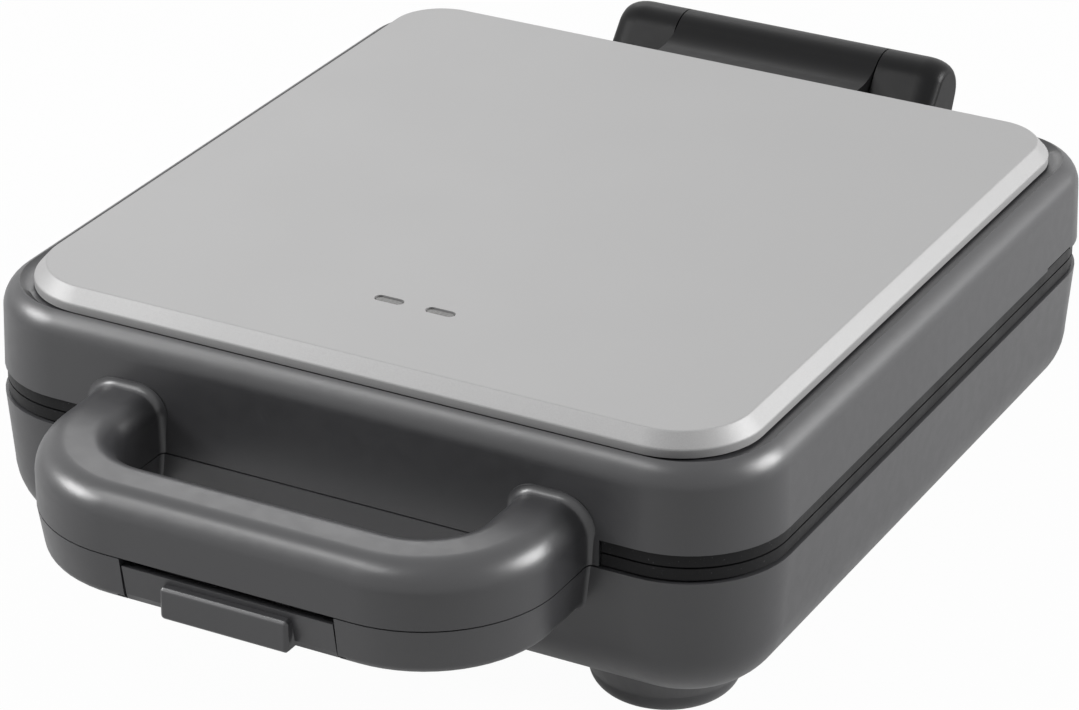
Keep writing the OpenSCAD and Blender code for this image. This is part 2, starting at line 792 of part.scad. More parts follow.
module plate_screw_shape() {
    for (p = lugs) translate([p[0], p[1], up_flange_z + shield_t + head_t]) mirror([0, 0, 1])
        screw(small_screw_d, 6);
}

module upper_plate_screws() {
    color(steel) in_place() plate_screw_shape();
}

module lower_plate_screws() {
    color(steel) in_place() for_base() plate_screw_shape();
}

// Screws up through the upper reflector into the lid's posts
module shield_screws() {
    color(steel) in_place() for (p = posts) translate([p[0], p[1], up_shield_z - head_t])
        screw(small_screw_d, 8);
}

// Fibre pad on the reflector's outer face, with holes for the posts
module insulation_shape() {
    translate([0, 0, up_shield_z + shield_t]) linear_extrude(pad_t) difference() {
        rrect(dish_w - 8, dish_d - 8, dish_r, dish_r, $fn = 48);
        for (p = posts) translate(p) circle(d = post_d + 3, $fn = 40);
        for (s = [-1, 1]) translate([s*lead_x, rod_y]) circle(d = lead_hole, $fn = 32);
    }
}

module upper_insulation() {
    color(fibre) in_place() insulation_shape();
}

module lower_insulation() {
    color(fibre) in_place() difference() {
        for_base() insulation_shape();
        translate([block_x - block_w/2 - block_room, block_y - block_d/2 - block_room, floor_z])
            cube([block_w + 2*block_room, block_d + 2*block_room, block_h + block_room]);
    }
}

// ---------- thermostat ----------

stat_d = 15;
stat_h = shield_gap - 1.4;

module thermostat() {
    color(brass) in_place() translate([0, 10, up_back_z]) {
        cylinder(h = stat_h, d = stat_d, $fn = 48);
        for (s = [-1, 1]) translate([s*(stat_d/2 + 2.5), 0, stat_h - 2.5]) cube([7, 5, 0.8], center = true);
    }
}

module thermostat_strap() {
    color(galvanised) in_place() translate([0, 10, up_back_z]) difference() {
        translate([-3, -20, 0]) cube([6, 40, stat_h + 1]);
        translate([-3 - cut, -stat_d/2 - touch, -cut])
            cube([6 + 2*cut, stat_d + 2*touch, stat_h + cut + touch]);
        for (s = [-1, 1]) translate([-3 - cut, s*15.2 - 6.5, 1]) cube([6 + 2*cut, 13, stat_h + cut]);
    }
}

// ---------- base ----------

module base_posts(d, z0) {
    for (p = posts) translate([p[0], p[1], z0])
        cylinder(h = 2*parting_z - up_shield_z - shield_t - z0, d = d, $fn = 40);
}

module latch_window() {
    translate([-latch_x - latch_gap, handle_y - cut, handle_z0 - cut])
        cube([latch_w + 2*latch_gap, wall + low_draft + cut + 2.4, handle_low_h + 2*cut]);
}

module lower_housing() {
    color(charcoal) in_place() difference() {
        union() {
            difference() {
                union() {
                    base_form();
                    handle_sweep() lower_bar_section(bar_w, handle_z0, base_z1, low_draft, low_edge);
                    lower_root_flares();
                }
                base_form(-wall, base_z1 + cut);
                handle_sweep(wall, front_y - root_flare)
                    lower_bar_section(bar_w - 2*wall, handle_z0 + wall, base_z1 + cut, low_draft, 1);
            }
            base_posts(post_d, floor_z - cut);
            // ribs that hold the ends of the latch pin
            for (s = [-1, 1]) translate([s*(rib_x + rib_t/2), pivot_y - 0.2, (handle_z0 + base_z1)/2 - 0.2])
                cube([rib_t, 12, handle_low_h - cover_t - 2], center = true);
        }
        latch_window();
        base_posts(screw_d + 4*touch, base_z0 - cut);
        for (p = posts) translate([p[0], p[1], base_z0 - cut])
            cylinder(h = head_t + 1 + cut, d = screw_d*2.1, $fn = 40);
        // latch pin's seats
        translate([-rib_x - rib_t - cut, pivot_y, pivot_z]) rotate([0, 90, 0])
            cylinder(h = 2*(rib_x + rib_t + cut), d = latch_pin_d, $fn = 32);
        // foot screws
        for (f = feet) translate([f[0]*foot_x, f[1]*foot_y, base_z0 - cut])
            cylinder(h = wall + 2*cut, d = screw_d + 4*touch, $fn = 32);
        // bracket screws and the cord bush, through the rear wall
        both_sides() for (x = [knuckle_x0 + 6, knuckle_x1 - 6])
            translate([x, rear_y - 3*wall - cut, wall_screw_z]) rotate([-90, 0, 0])
                cylinder(h = 5*wall, d = screw_d + 4*touch, $fn = 32);
        translate([-inlet_x, rear_y - 4*wall, inlet_z]) rotate([-90, 0, 0])
            cylinder(h = 6*wall, r = bush_r + touch, $fn = 48);
    }
}

module lower_root_flares() {
    difference() {
        both_sides() hull() for (s = [[front_y + 2, root_flare], [front_y - root_flare, 0]])
            translate([arm_x + s[1], s[0], 0]) rotate([90, 0, 0]) mirror([1, 0, 0]) linear_extrude(slice)
                lower_bar_section(bar_w + 2*s[1], handle_z0 - s[1], base_z1, low_draft, low_edge);
    }
}

module lower_handle_cover() {
    color(charcoal) in_place() difference() {
        handle_sweep(wall + cover_inset, front_y - root_flare)
            handle_cover_section(bar_w - 2*wall - 2*cover_inset, base_z1 - cover_t - 0.3);
        stem_slot(base_z1 - cover_t - cut, base_z1 + cut);
        // room for the latch plate's top edge to tip in
        translate([-latch_x - latch_gap, handle_y, base_z1 - cover_t - cut])
            cube([latch_w + 2*latch_gap, wall + 4.6, cover_t + 2*cut]);
    }
}

module base_screws() {
    color(steel) in_place() for (p = posts) translate([p[0], p[1], base_z0 + 1])
        screw(screw_d, 2*parting_z - up_shield_z - base_z0 - 1 - head_t + 2.4);
}

// Foot: a short tapered boss with a rounded lower edge and a seat for its pad
module foot(f) {
    r = foot_d/2;
    rb = r - foot_taper - foot_round;
    color(charcoal) in_place() translate([f[0]*foot_x, f[1]*foot_y, 0]) difference() {
        union() {
            translate([0, 0, pad_proud + foot_round]) cylinder(h = foot_h - pad_proud - foot_round,
                r1 = r - foot_taper, r2 = r, $fn = 64);
            translate([0, 0, pad_proud]) cylinder(h = foot_round, r = rb, $fn = 64);
            translate([0, 0, pad_proud + foot_round]) rotate_extrude($fn = 64) translate([rb, 0])
                intersection() {
                    circle(foot_round, $fn = 48);
                    translate([0, -foot_round]) square([foot_round, foot_round]);
                }
        }
        translate([0, 0, -cut]) cylinder(h = pad_h + cut, d = pad_d + 2*touch, $fn = 48);
        translate([0, 0, -cut]) cylinder(h = pad_h + head_t + 1 + cut, d = screw_d*2.1, $fn = 40);
        cylinder(h = foot_h + cut, d = screw_d + 4*touch, $fn = 32);
    }
}

module foot_front_left() {
    foot(feet[0]);
}

module foot_front_right() {
    foot(feet[1]);
}

module foot_rear_left() {
    foot(feet[2]);
}

module foot_rear_right() {
    foot(feet[3]);
}

module foot_pads() {
    color(rubber) in_place() for (f = feet) translate([f[0]*foot_x, f[1]*foot_y, 0])
        cylinder(h = pad_h, d = pad_d, $fn = 48);
}

module foot_screws() {
    color(steel) in_place() for (f = feet) translate([f[0]*foot_x, f[1]*foot_y, pad_h + 1])
        screw(screw_d, foot_h - pad_h + wall - 1);
}

// ---------- hinge ----------

// Base knuckle with its leg: rounded outer end, seated on the base's rear wall
module hinge_bracket() {
    difference() {
        hull() for (i = [0:fillet_steps]) let(a = 90*i/fillet_steps, e = knuckle_round*(1 - cos(a)),
                                              x = knuckle_x1 - knuckle_end + knuckle_end*sin(a)) {
            x0 = i == 0 ? knuckle_x0 : x;
            translate([x0, hinge_y, hinge_z]) rotate([0, 90, 0])
                cylinder(h = x - x0 + slice, r = hinge_r - e, $fn = 48);
            translate([x0, rear_y - 8, leg_z0 + e])
                cube([x - x0 + slice, leg_depth + 8 - e, leg_z1 - leg_z0 - 2*e]);
        }
        base_form(touch, lid_z);
        lid_form(touch + 2, skirt_z);
        translate([knuckle_x0 - cut, hinge_y, hinge_z]) rotate([0, 90, 0])
            cylinder(h = pin_reach + cut, r = pin_r, $fn = 48);
        for (x = [knuckle_x0 + 6, knuckle_x1 - 6]) translate([x, rear_y - 8, wall_screw_z])
            rotate([-90, 0, 0]) cylinder(h = 22, d = screw_d + 2*touch, $fn = 32);
    }
}

module hinge_bracket_right() {
    color(black) in_place() hinge_bracket();
}

module hinge_bracket_left() {
    color(black) in_place() mirror([1, 0, 0]) hinge_bracket();
}

wall_at_screw = (base_z1 - wall_screw_z)*base_draft;

module hinge_bracket_screws() {
    color(steel) in_place() both_sides() for (x = [knuckle_x0 + 6, knuckle_x1 - 6])
        translate([x, rear_y - wall_at_screw - wall - head_t - screw_d*base_draft, wall_screw_z])
            rotate([-90, 0, 0])
            screw(screw_d, 14);
}

module hinge_pin() {
    color(steel) in_place() translate([-knuckle_x0 - pin_reach + fit_gap, hinge_y, hinge_z])
        rotate([0, 90, 0])
        cylinder(h = 2*(knuckle_x0 + pin_reach - fit_gap), r = pin_r, $fn = 48);
}

module hinge_barrel() {
    color(black) in_place() difference() {
        union() {
            translate([-barrel_w/2, hinge_y, hinge_z]) rotate([0, 90, 0])
                cylinder(h = barrel_w, r = hinge_r, $fn = 96);
            translate([-barrel_w/2, rear_y - 6, arm_z0]) cube([barrel_w, hinge_back + 6, arm_z1 - arm_z0]);
        }
        lid_form(touch);
        translate([-barrel_w/2 - cut, hinge_y, hinge_z]) rotate([0, 90, 0])
            cylinder(h = barrel_w + 2*cut, r = pin_r + pin_play, $fn = 48);
        for (x = barrel_screw_x) translate([x, rear_y - 8, barrel_screw_z]) rotate([-90, 0, 0])
            cylinder(h = 24, d = screw_d + 2*touch, $fn = 32);
    }
}

lid_wall_at_screw = (barrel_screw_z - skirt_z)*lid_draft;

module hinge_barrel_screws() {
    color(steel) in_place() for (x = barrel_screw_x)
        translate([x, rear_y - lid_wall_at_screw - wall - head_t - screw_d*lid_draft, barrel_screw_z])
            rotate([-90, 0, 0])
            screw(screw_d, 14);
}

// ---------- cord inlet and wiring ----------

// Flange trimmed to the leaning wall, sleeve through it and a nut inside
bush_out = 2.4;
bush_len = bush_out + shield_gap_y - fit_gap;
bush_nut = 2.6;                                // how far its nut stands out round it
module cord_bush() {
    color(black) in_place() translate([-inlet_x, rear_y + bush_out, inlet_z]) rotate([90, 0, 0])
    difference() {
        union() {
            difference() {
                cylinder(h = 6, r = flange_r, $fn = 64);
                translate([inlet_x, -inlet_z, rear_y + bush_out]) rotate([-90, 0, 0]) base_form();
            }
            translate([0, 0, 1]) cylinder(h = bush_len - 1, r = bush_r, $fn = 64);
            translate([0, 0, bush_len - 3.6]) cylinder(h = 3, r = bush_r + bush_nut, $fn = 64);
        }
        translate([0, 0, -cut]) cylinder(h = bush_len + 2*cut, r = inlet_r, $fn = 64);
    }
}

module terminal_block() {
    color("white") in_place() translate([block_x, block_y, floor_z]) difference() {
        translate([-block_w/2, -block_d/2, 0]) cube([block_w, block_d, block_h]);
        for (i = [-1, 0, 1]) {
            translate([i*11, -block_d/2 - cut, block_h/2]) rotate([-90, 0, 0])
                cylinder(h = block_d + 2*cut, d = 3.6, $fn = 32);
            for (s = [-1, 1]) translate([i*11, s*5, block_h/2]) cylinder(h = block_h, d = 4.4, $fn = 32);
        }
        for (x = [-5.5, 5.5]) translate([x, -block_d/2 - cut, block_h - 3]) cube([1.6, block_d + 2*cut, 4]);
    }
}

fuse_x = 34;
fuse_y = 40;
fuse_z = 2*parting_z - up_shield_z - shield_t - pad_t - 2;
spade_z = up_rod_z + rod_d*0.225 - 0.4;        // where a lead meets a rod's cold end

module thermal_fuse() {
    color("ivory") in_place() translate([fuse_x, fuse_y, fuse_z]) {
        translate([-9, 0, 0]) rotate([0, 90, 0]) cylinder(h = 18, d = 4, $fn = 32);
        for (s = [-1, 1]) bar([s*8.5, 0, 0], [s*15, 0, 0], 1.2);
    }
}

// Mains wires from the block to the rod's ends, one by way of the fuse
module lower_wiring() {
    zb = floor_z + block_h/2;
    ze = 2*parting_z - spade_z;
    yb = block_y - block_d/2;
    color(wire_white) in_place() {
        wire([[block_x + 11, yb + 4, zb], [block_x + 11, yb - 6, zb],
              [-lead_x, rod_y, zb], [-lead_x, rod_y, ze]]);
        wire([[block_x, yb + 4, zb], [block_x, yb - 14, zb], [block_x + 20, fuse_y, fuse_z],
              [fuse_x - 14, fuse_y, fuse_z]]);
        wire([[fuse_x + 14, fuse_y, fuse_z], [fuse_x + 20, fuse_y, fuse_z], [lead_x, rod_y, zb],
              [lead_x, rod_y, ze]]);
    }
}

// Leads from the lamp holder back under the deck and down to the rod's ends
module upper_wiring() {
    z = holder_z + 1.2 + wire_d/2;
    color(wire_white) in_place() for (s = [-1, 1])
        wire([[s*lead_x, lamp_y + 4, z], [s*lead_x, rod_y, z], [s*lead_x, rod_y, spade_z]]);
}

// ---------- latch ----------

// Front plate of the latch, cut to the handle's leaning outer face
module latch_plate() {
    intersection() {
        translate([-latch_x, handle_y - cut, handle_z0 - cut])
            cube([latch_w, 12, latch_z1 - handle_z0 + cut]);
        difference() {
            translate([-latch_x, handle_y, 0]) rotate([90, 0, 90]) linear_extrude(latch_w)
                lower_bar_section(bar_w, handle_z0, base_z1, low_draft, low_edge);
            translate([-latch_x - cut, handle_y + latch_t, 0])
                rotate([90, 0, 90]) linear_extrude(latch_w + 2*cut)
                lower_bar_section(bar_w, handle_z0 + latch_t, base_z1 + cut, low_draft, 1);
            // the bottom return stops just behind the front face
            translate([-latch_x - cut, handle_y + wall + low_draft + 2, handle_z0 - cut])
                cube([latch_w + 2*cut, bar_w, handle_low_h]);
        }
    }
}

// Pull tab: an upright block with softened edges, as deep as the lever's lower half
module latch_tab() {
    y0 = handle_y + low_draft + 1.6;
    y1 = handle_y - tab_out;
    // three blocks, each drawn in along two of the three directions, leave every edge bevelled
    hull() for (k = [0:2])
        let(x = k == 0 ? 0 : tab_soft, y = k == 1 ? 0 : tab_soft, z = k == 2 ? 0 : tab_soft)
            translate([x - tab_w/2, y1 + y, tab_z0 + z])
                cube([tab_w - 2*x, y0 - y1 - y, tab_z1 - tab_z0 - 2*z]);
}

module latch_lever() {
    color(charcoal) in_place() difference() {
        union() {
            latch_plate();
            latch_tab();
            // lugs on the pin
            for (s = [-1, 1]) translate([s*(latch_x - lug_w/2 - 2) - lug_w/2, 0, 0]) {
                translate([0, pivot_y, pivot_z]) rotate([0, 90, 0])
                    cylinder(h = lug_w, r = sleeve_r, $fn = 40);
                translate([0, handle_y + latch_t - 0.5, pivot_z - sleeve_r])
                    cube([lug_w, pivot_y - handle_y - latch_t + 0.5, 1.8*sleeve_r]);
            }
            // web, stem and hook
            translate([-stem_w/2, handle_y + latch_t - 0.5, pivot_z - 2.4])
                cube([stem_w, pivot_y + stem_t/2 - handle_y - latch_t + 0.5, 4.8]);
            translate([-stem_w/2, pivot_y - stem_t/2, pivot_z - 2.4])
                cube([stem_w, stem_t, hook_z0 + hook_t - pivot_z + 2.4]);
            translate([-stem_w/2, pivot_y - stem_t/2 - nose_l, hook_z0])
                cube([stem_w, nose_l + stem_t, hook_t]);
        }
        translate([-latch_x - cut, pivot_y, pivot_z]) rotate([0, 90, 0])
            cylinder(h = latch_w + 2*cut, d = latch_pin_d + 2*pin_play, $fn = 32);
    }
}

module latch_pin() {
    color(steel) in_place() translate([-rib_x - rib_t, pivot_y, pivot_z]) rotate([0, 90, 0])
        cylinder(h = 2*(rib_x + rib_t), d = latch_pin_d, $fn = 32);
}

// Torsion spring round the pin, beside the stem
module latch_spring() {
    n = 6;
    wire_r = 0.55;
    color(steel) in_place() translate([stem_w/2 + 3, pivot_y, pivot_z]) {
        for (i = [0:n]) translate([i*1.6*wire_r, 0, 0]) rotate([0, 90, 0])
            rotate_extrude($fn = 40) translate([latch_pin_d/2 + wire_r + pin_play, 0])
                circle(wire_r, $fn = 24);
        bar([0, 0, -latch_pin_d/2 - wire_r - pin_play],
            [0, 5, handle_z0 + wall - pivot_z + wire_r], 2*wire_r);
    }
}

// Spring-steel catch on the lid's half of the handle
catch_y = handle_y + wall;
catch_lip_z = hook_z0 - catch_gap - catch_t;
catch_top = handle_z1 - handle_r_out - 2*touch;
catch_screw_x = (stem_w/2 + catch_w/2)/2;
catch_screw_z = catch_top - small_screw_d*0.95;
catch_hold = wall - 0.8;                       // how far its screws run into the wall

module latch_catch() {
    color(galvanised) in_place() difference() {
        union() {
            translate([-catch_w/2, catch_y, catch_lip_z]) cube([catch_w, catch_t, catch_top - catch_lip_z]);
            translate([-stem_w/2, catch_y, catch_lip_z])
                cube([stem_w, pivot_y - stem_t/2 - 0.7 - catch_y, catch_t]);
        }
        for (s = [-1, 1]) translate([s*catch_screw_x, catch_y - cut, catch_screw_z]) rotate([-90, 0, 0])
            cylinder(h = 3*cut, d = small_screw_d + 2*touch, $fn = 32);
    }
}

module catch_screws() {
    color(steel) in_place() for (s = [-1, 1])
        translate([s*catch_screw_x, catch_y + catch_t + head_t, catch_screw_z]) rotate([90, 0, 0])
            screw(small_screw_d, catch_t + catch_hold);
}

// ---------- parts ----------

lower_housing();
lower_handle_cover();
lower_plate();
lower_element();
lower_element_clamps();
lower_heat_shield();
lower_insulation();
lower_plate_screws();
base_screws();
foot_front_left();
foot_front_right();
foot_rear_left();
foot_rear_right();
foot_pads();
foot_screws();
hinge_bracket_left();
hinge_bracket_right();
hinge_bracket_screws();
hinge_pin();
cord_bush();
terminal_block();
thermal_fuse();
lower_wiring();
latch_pin();
latch_spring();
upper_housing();
upper_handle_cover();
top_panel();
power_lens();
ready_lens();
lamp_holder();
neon_lamps();
upper_plate();
upper_element();
upper_element_clamps();
upper_heat_shield();
upper_insulation();
upper_plate_screws();
shield_screws();
thermostat();
thermostat_strap();
hinge_barrel();
hinge_barrel_screws();
upper_wiring();
latch_catch();
catch_screws();
latch_lever();
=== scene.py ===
# %% [markdown]
# # A two-by-two waffle maker
# The appliance is a flat clamshell: a charcoal base and lid that close on two cast plates, a silver
# panel let into the lid, a U-shaped handle split between lid and base, a pull latch and a pin hinge.
# The construction arrives as finished solids. Here they get their looks: the moulded shells are
# modelled again with truly round corners, and every surface gets a material.

# %% Load the construction model
import bmesh
import bpy
import json
from math import cos, radians, sin
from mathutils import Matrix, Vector


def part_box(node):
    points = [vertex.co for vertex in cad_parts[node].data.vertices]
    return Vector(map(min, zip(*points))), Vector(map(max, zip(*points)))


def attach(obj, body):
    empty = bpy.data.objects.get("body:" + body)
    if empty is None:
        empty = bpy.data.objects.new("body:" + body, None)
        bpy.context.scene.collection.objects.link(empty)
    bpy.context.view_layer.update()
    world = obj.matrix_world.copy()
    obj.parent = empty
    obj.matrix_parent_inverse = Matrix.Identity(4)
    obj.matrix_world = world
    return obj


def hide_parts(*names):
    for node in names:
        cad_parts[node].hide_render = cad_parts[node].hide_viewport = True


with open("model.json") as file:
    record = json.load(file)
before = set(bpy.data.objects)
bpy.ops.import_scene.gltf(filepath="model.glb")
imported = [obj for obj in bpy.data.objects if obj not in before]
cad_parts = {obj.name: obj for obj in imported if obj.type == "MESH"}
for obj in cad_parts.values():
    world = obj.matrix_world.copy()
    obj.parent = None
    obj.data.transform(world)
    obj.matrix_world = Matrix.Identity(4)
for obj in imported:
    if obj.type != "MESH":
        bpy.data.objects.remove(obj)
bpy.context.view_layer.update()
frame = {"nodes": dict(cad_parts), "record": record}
scene = bpy.context.scene

# %% [markdown]
# ## The camera
# A long lens from the front right, a little above the lid, as in a catalogue picture. A long lens
# keeps the sides nearly parallel. The camera is turned about two axes only, so uprights stay upright.

# %% Camera
CAMERA_PLACE = (0.61325, -1.1381, 0.7060)
AZIMUTH, ELEVATION = radians(28.326), radians(26.625)
FOCAL_MM = 143.47

cam = bpy.data.cameras.new("camera")
cam.sensor_width = 36.0
cam.lens = FOCAL_MM
cam.clip_end = 20.0
camera = bpy.data.objects.new("camera", cam)
camera.location = CAMERA_PLACE
camera.rotation_euler = (radians(90) - ELEVATION, 0, AZIMUTH)
scene.collection.objects.link(camera)
scene.camera = camera
scene.view_settings.view_transform = "Standard"
print("camera at", CAMERA_PLACE, "with a lens of", FOCAL_MM, "mm")

# %% [markdown]
# ## Studio
# Product pictures of dark plastic live from large soft lights: what reads as the colour of a face is
# mostly the lamp it mirrors. A broad lamp on the right, a little behind the object, does most of the
# work and draws the long highlights. One at the front left lights the lid's front edge and the
# handle, a weaker one above it lifts the handle's top, and two faint ones behind the object keep the
# far edges and the hinge from going black. Area lamps were chosen because their highlights have
# the soft, straight ends that a studio's light boxes give.

# %% Lamps
def soft_lamp(name, place, aim, width, height, watts):
    """A rectangular lamp at a place, turned towards another."""
    lamp = bpy.data.lights.new(name, "AREA")
    lamp.shape = "RECTANGLE"
    lamp.size, lamp.size_y = width, height
    lamp.energy = watts
    obj = bpy.data.objects.new(name, lamp)
    obj.location = place
    turn = (Vector(aim) - Vector(place)).to_track_quat("-Z", "Y")
    obj.rotation_euler = turn.to_euler()
    scene.collection.objects.link(obj)


soft_lamp("right_lamp", (1.34, 0.66, 0.78), (0, 0, 0.08), 0.75, 0.75, 28)
soft_lamp("low_lamp", (1.15, 1.45, 0.3), (0, 0, 0.08), 0.6, 0.4, 1)
soft_lamp("left_lamp", (-0.9, -0.5, 0.68), (0, -0.05, 0.09), 0.5, 0.35, 9.5)
soft_lamp("overhead_lamp", (-0.45, -0.6, 1.2), (0, -0.1, 0.1), 0.7, 0.25, 4)
soft_lamp("rear_lamp", (-1.0, 1.45, 1.05), (0, -0.05, 0.1), 0.6, 0.4, 2)

# %% [markdown]
# ## World and floor
# The world gives a weak, even fill from all round. It is white to the camera, and to rays that come
# off a mirror or through glass, so gloss still sees a white studio. The floor does the same: most of
# what the camera sees of it is plain white, and the rest is a matt surface that takes the shadow.

# %% Shader helpers
def new_material(name):
    """A new material, its node tree and its main shader."""
    mat = bpy.data.materials.new(name)
    mat.use_nodes = True
    tree = mat.node_tree
    shader = tree.nodes["Principled BSDF"]
    return mat, tree, shader


def add_node(tree, kind, inputs=None, **settings):
    """Add a shader node, with its settings, and its inputs linked or set by value."""
    made = tree.nodes.new("ShaderNode" + kind)
    for key, value in settings.items():
        setattr(made, key, value)
    for key, value in (inputs or {}).items():
        if isinstance(value, bpy.types.NodeSocket):
            tree.links.new(value, made.inputs[key])
        else:
            made.inputs[key].default_value = value
    return made


def white_rays(tree, seen=1.0, mirrored=1.0):
    """How white to be: for rays from the camera, and for those off a gloss or through glass."""
    rays = add_node(tree, "LightPath")
    direct = add_node(tree, "Math", {0: rays.outputs["Is Camera Ray"], 1: seen},
                      operation="MULTIPLY")
    bent = add_node(tree, "Math", {0: rays.outputs["Is Glossy Ray"],
                                   1: rays.outputs["Is Transmission Ray"]}, operation="MAXIMUM")
    bent = add_node(tree, "Math", {0: bent.outputs[0], 1: mirrored}, operation="MULTIPLY")
    either = add_node(tree, "Math", {0: direct.outputs[0], 1: bent.outputs[0]},
                      operation="MAXIMUM")
    return either.outputs[0]


# %% World
FILL_GREY = (0.2, 0.2, 0.204, 1)

world = bpy.data.worlds.new("studio")
scene.world = world
world.use_nodes = True
sky_tree = world.node_tree
sky = sky_tree.nodes["Background"]
sky.inputs["Strength"].default_value = 1.0
white = add_node(sky_tree, "Mix", {"Factor": white_rays(sky_tree), "A": FILL_GREY,
                                   "B": (1, 1, 1, 1)}, data_type="RGBA")
sky_tree.links.new(white.outputs["Result"], sky.inputs["Color"])
print("the world fills with a grey of", FILL_GREY[0])

# %% Floor
FLOOR_SIZE, FLOOR_Z = 8, -0.0002
SEEN_WHITE, MIRRORED_WHITE = 0.97, 0.3

bpy.ops.object.select_all(action="DESELECT")
bpy.ops.mesh.primitive_plane_add(size=FLOOR_SIZE, location=(0, 0, FLOOR_Z))
floor = bpy.context.object
floor.name = "floor"
floor_mat, tree, shader = new_material("white_floor")
shader.inputs["Base Color"].default_value = (0.6, 0.6, 0.6, 1)
shader.inputs["Roughness"].default_value = 0.9
shader.inputs["Specular IOR Level"].default_value = 0.1
glow = add_node(tree, "Emission", {"Strength": 1.0})
both = add_node(tree, "MixShader", {"Fac": white_rays(tree, SEEN_WHITE, MIRRORED_WHITE),
                                    1: shader.outputs[0], 2: glow.outputs[0]})
tree.links.new(both.outputs[0], tree.nodes["Material Output"].inputs["Surface"])
floor.data.materials.append(floor_mat)
print("the floor is", SEEN_WHITE, "white to the camera and", MIRRORED_WHITE, "to a gloss")

# %% [markdown]
# ## Modelling helpers
# Every moulded piece here starts as a flat rounded outline. Blender's vertex bevel turns the corners
# of a plane into true arcs, and the inset operator, given a thickness and a depth, then raises the
# outline into a wall, a fillet or a ledge, one ring at a time. That is how one would do it by hand,
# and it keeps all corners concentric. Corners are picked in code by where they are. Lengths here are
# in millimetres, and MM turns them into the metres of the scene. Heights are measured from the table,
# and a name that ends in _Y is measured from the middle of the housings.

# %% Where the housings are
MM = 0.001
panel_lo, panel_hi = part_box("top_panel")
MID_Y = (panel_lo[1] + panel_hi[1]) / 2
print("middle of the housings at y =", round(MID_Y / MM, 2), "mm, top of the panel at",
      round(panel_hi[2] / MM, 2), "mm")

# %% Picking by place
def pick(kind, test):
    """Select the verts, edges or faces of the mesh in edit mode whose middle passes the test."""
    bpy.ops.mesh.select_mode(type=kind)
    bpy.ops.mesh.select_all(action="DESELECT")
    mesh = bmesh.from_edit_mesh(bpy.context.object.data)
    group = {"VERT": mesh.verts, "EDGE": mesh.edges, "FACE": mesh.faces}[kind]
    count = 0
    for item in group:
        if kind == "VERT":
            middle = item.co
        elif kind == "EDGE":
            middle = (item.verts[0].co + item.verts[1].co) / 2
        else:
            middle = item.calc_center_median()
        hit = bool(test(middle, item))
        item.select_set(hit)
        count += hit
    bmesh.update_edit_mesh(bpy.context.object.data)
    return count


# %% Rounded outlines
def new_piece(name):
    """Add a unit plane on the origin, in edit mode with all of it selected."""
    bpy.ops.object.select_all(action="DESELECT")
    bpy.ops.mesh.primitive_plane_add(size=1)
    piece = bpy.context.object
    piece.name = name
    piece.data.name = name
    bpy.ops.object.mode_set(mode="EDIT")
    bpy.ops.mesh.select_all(action="SELECT")
    return piece


def rounded_outline(name, width, depth, front_r, rear_r, z, arc=14, facing=1):
    """A flat face with rounded corners, about the middle of the housings; sizes in mm."""
    piece = new_piece(name)
    bpy.ops.transform.resize(value=(width * MM, depth * MM, 1))
    for side, radius in ((-1, front_r), (1, rear_r)):
        pick("VERT", lambda c, v: c.y * side > 0.3 * depth * MM and abs(c.x) > 0.49 * width * MM)
        bpy.ops.mesh.bevel(offset=radius * MM, segments=arc, affect="VERTICES",
                           clamp_overlap=False)
    bpy.ops.mesh.select_all(action="SELECT")
    if facing < 0:
        bpy.ops.mesh.flip_normals()
    bpy.ops.transform.translate(value=(0, MID_Y, z * MM))
    bpy.ops.mesh.select_mode(type="FACE")
    return piece


# %% Rings raised from an outline
def raise_rings(steps):
    """From the selected face: each (inward, along) step in mm makes one more ring."""
    for inward, along in steps:
        if abs(inward) < 1e-6:
            bpy.ops.mesh.extrude_region_shrink_fatten(
                TRANSFORM_OT_shrink_fatten={"value": along * MM})
        else:
            bpy.ops.mesh.inset(thickness=inward * MM, depth=along * MM, use_even_offset=True)


def fillet_steps(radius, start, end, count):
    """(inward, along) steps of a rounded edge between two angles in degrees."""
    angles = [radians(start + (end - start) * i / count) for i in range(count + 1)]
    spots = [(radius * (1 - cos(a)), radius * sin(a)) for a in angles]
    return [(q[0] - p[0], q[1] - p[1]) for p, q in zip(spots, spots[1:])]


def move_up(rise):
    """Extrude what is selected straight up, or down, by rise mm."""
    bpy.ops.mesh.extrude_region_move(TRANSFORM_OT_translate={"value": (0, 0, rise * MM)})


# %% Modifiers and booleans
def apply(piece, kind, **settings):
    """Add one modifier, set it up and apply it."""
    bpy.ops.object.mode_set(mode="OBJECT")
    bpy.ops.object.select_all(action="DESELECT")
    bpy.context.view_layer.objects.active = piece
    piece.select_set(True)
    mod = piece.modifiers.new(kind.lower(), kind)
    for key, value in settings.items():
        setattr(mod, key, value)
    bpy.ops.object.modifier_apply(modifier=mod.name)


def cut_away(piece, *cutters):
    """Boolean the cutters out of the piece, and delete them."""
    for cutter in cutters:
        apply(piece, "BOOLEAN", operation="DIFFERENCE", solver="EXACT", object=cutter)
        bpy.data.objects.remove(cutter, do_unlink=True)


def join_on(piece, other):
    """Boolean another piece onto this one, and delete the other."""
    apply(piece, "BOOLEAN", operation="UNION", solver="EXACT", object=other)
    bpy.data.objects.remove(other, do_unlink=True)


# %% Blocks and drills
def block(name, low, high):
    """A box between two corners, in mm, to cut with or to join on."""
    bpy.ops.object.select_all(action="DESELECT")
    middle = [(a + b) / 2 * MM for a, b in zip(low, high)]
    bpy.ops.mesh.primitive_cube_add(size=1, location=middle)
    bpy.ops.transform.resize(value=[(b - a) * MM for a, b in zip(low, high)])
    bpy.ops.object.transform_apply(location=True, rotation=True, scale=True)
    bpy.context.object.name = name
    return bpy.context.object


